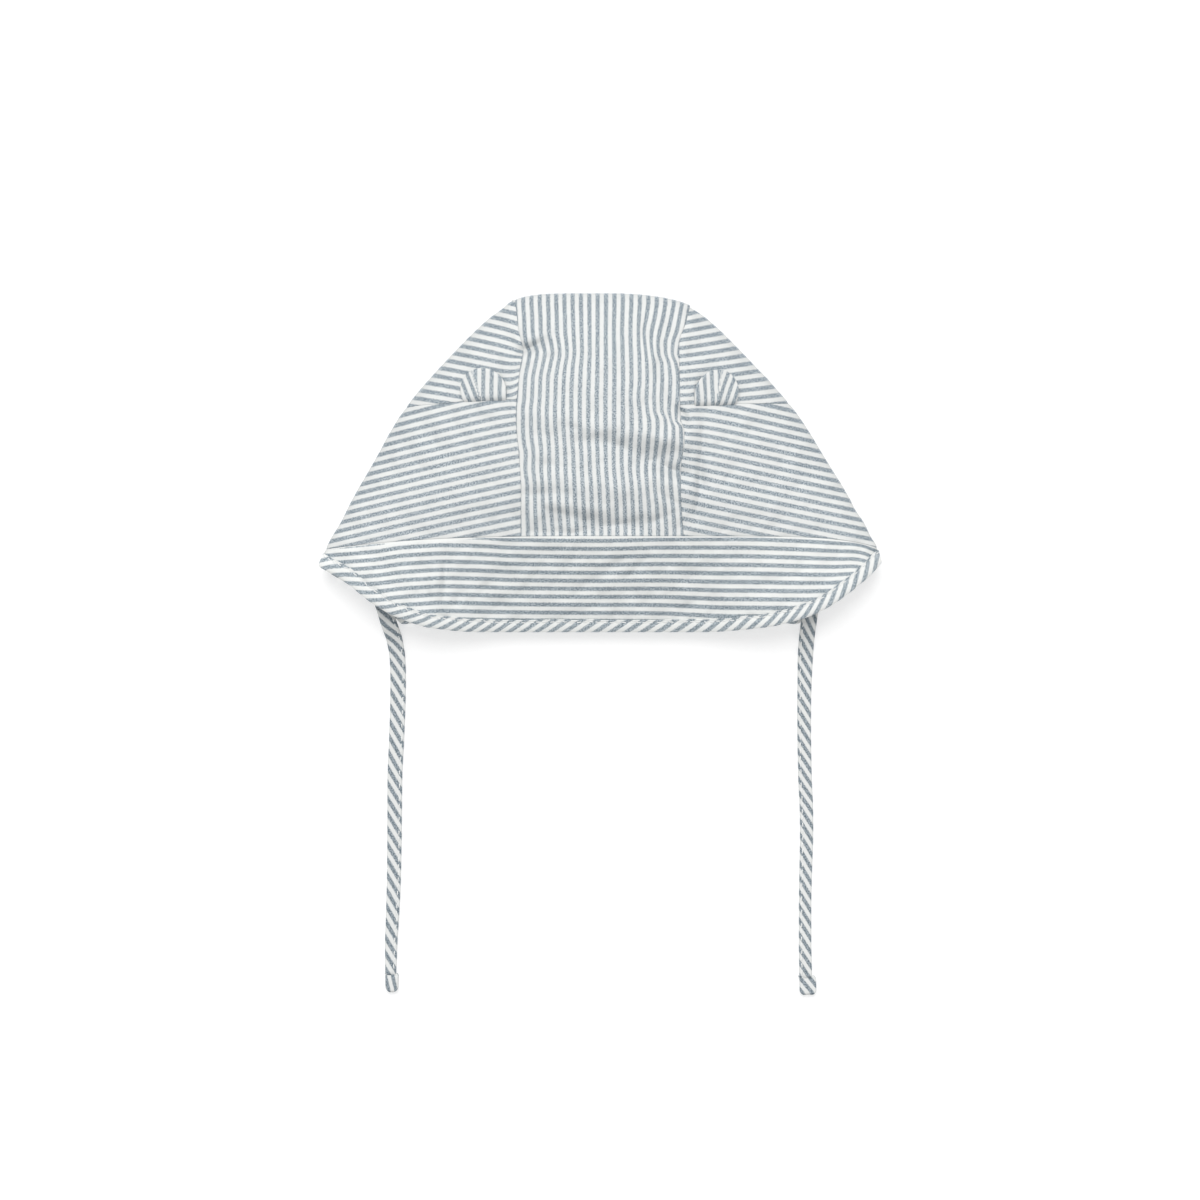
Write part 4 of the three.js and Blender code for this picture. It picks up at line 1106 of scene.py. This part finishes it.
def stitches(name, centres, directions, normals=UP, wander=STITCH_WANDER):
    """Short threads lying on the cloth, each dipping into it at both ends."""
    random = np.random.default_rng(SEED)
    sides, rings = 6, 7
    t = np.linspace(-1, 1, rings)
    lift = STITCH_WIDTH * (0.3 - 0.7 * t**4)
    radius = STITCH_WIDTH / 2 * np.sqrt(1 - 0.9 * t**6)
    turn = np.arange(sides) * math.tau / sides
    normals = np.broadcast_to(normals, centres.shape)
    across = unit(np.cross(normals, directions))
    tilt, shift = random.uniform(-1, 1, (2, len(centres), 1)) * np.reshape(wander, (-1, 1))
    directions = unit(directions + across * tilt)
    centres = centres + across * shift * STITCH_WIDTH
    across = unit(np.cross(normals, directions))[:, None, None]
    spine = centres[:, None] + directions[:, None] * (STITCH_LENGTH / 2 * t)[:, None]
    spine = spine + normals[:, None] * lift[:, None]
    circle = across * np.cos(turn)[:, None] + normals[:, None, None] * np.sin(turn)[:, None]
    points = spine[:, :, None] + circle * radius[:, None, None]
    ids = np.arange(rings * sides).reshape(rings, sides)
    one = quads(np.concatenate([ids, ids[:, :1]], axis=1))
    faces = np.concatenate([one + i * rings * sides for i in range(len(centres))])
    close_ends(add_piece(name, points.reshape(-1, 3), faces, None, thread))


def binding_stitches(ring):
    """One line of stitches beside the binding's inner edge, on its upper side."""
    up = np.sign(ring["normal"][:, 2])
    lift = up * (BINDING_THICKNESS / 2 - BINDING_PRESS) * ring["squeeze"]
    line = ring["edge"] + ring["inward"] * (ring["width"] - STITCH_INSET)[:, None]
    line = line + ring["normal"] * lift[:, None]
    ahead = unit(np.roll(line, -1, axis=0) - np.roll(line, 1, axis=0))
    place = ring["place"]
    at = np.arange(place[0], place[-1], STITCH_PITCH)
    index = np.clip(np.searchsorted(place, at), 0, len(place) - 1)
    index = index[np.abs(ring["normal"][index, 2]) > STITCH_FACES_UP]
    wander = np.where(np.abs(place[index] - LOOSE_STITCHES[0]) < LOOSE_STITCHES[1], 3, 1)
    normals = ring["normal"][index] * up[index, None]
    stitches("binding_stitches", line[index], ahead[index], normals, wander * STITCH_WANDER)


centre_panel()
for side in SIDES:
    side_panels(side)
    ear(side)
rim_cloth(True)
rim_cloth(False)
binding_stitches(edge_binding())
for side in SIDES:
    tape_piece, route, length = tie(side)
    fold_piece = tie_end(side, route)

# The surface, the light and the camera.
floor_mesh = bpy.data.meshes.new("floor")
floor_mesh.from_pydata([(-3, -3, 0), (3, -3, 0), (3, 3, 0), (-3, 3, 0)], [], [(0, 1, 2, 3)])
floor = add_object("floor", floor_mesh)
paper, _, paper_shader = new_material("paper", 0.9)
paper_shader.inputs["Base Color"].default_value = colour(FLOOR)
paper_shader.inputs["Emission Color"].default_value = (1, 1, 1, 1)
paper_shader.inputs["Emission Strength"].default_value = FLOOR_GLOW
floor_mesh.materials.append(paper)

sun = bpy.data.lights.new("window", "SUN")
sun.energy = SUN["strength"]
sun.angle = math.radians(SUN["spread"])
turns = math.radians(-SUN["tilt"]), 0, math.radians(SUN["turn"])
add_object("window", sun).rotation_euler = turns

world = bpy.data.worlds.new("studio")
world.use_nodes = True
sky = world.node_tree.nodes["Background"]
sky.inputs["Color"].default_value = (1, 1, 1, 1)
sky.inputs["Strength"].default_value = SKY_GLOW
scene.world = world
scene.view_settings.view_transform = "Standard"
scene.view_settings.look = "None"

camera_data = bpy.data.cameras.new("camera")
camera_data.lens = 100
camera_data.sensor_width = 36
camera = add_object("camera", camera_data)
camera.location = (0, CAMERA_Y * MM, CAMERA_HEIGHT * MM)
scene.camera = camera
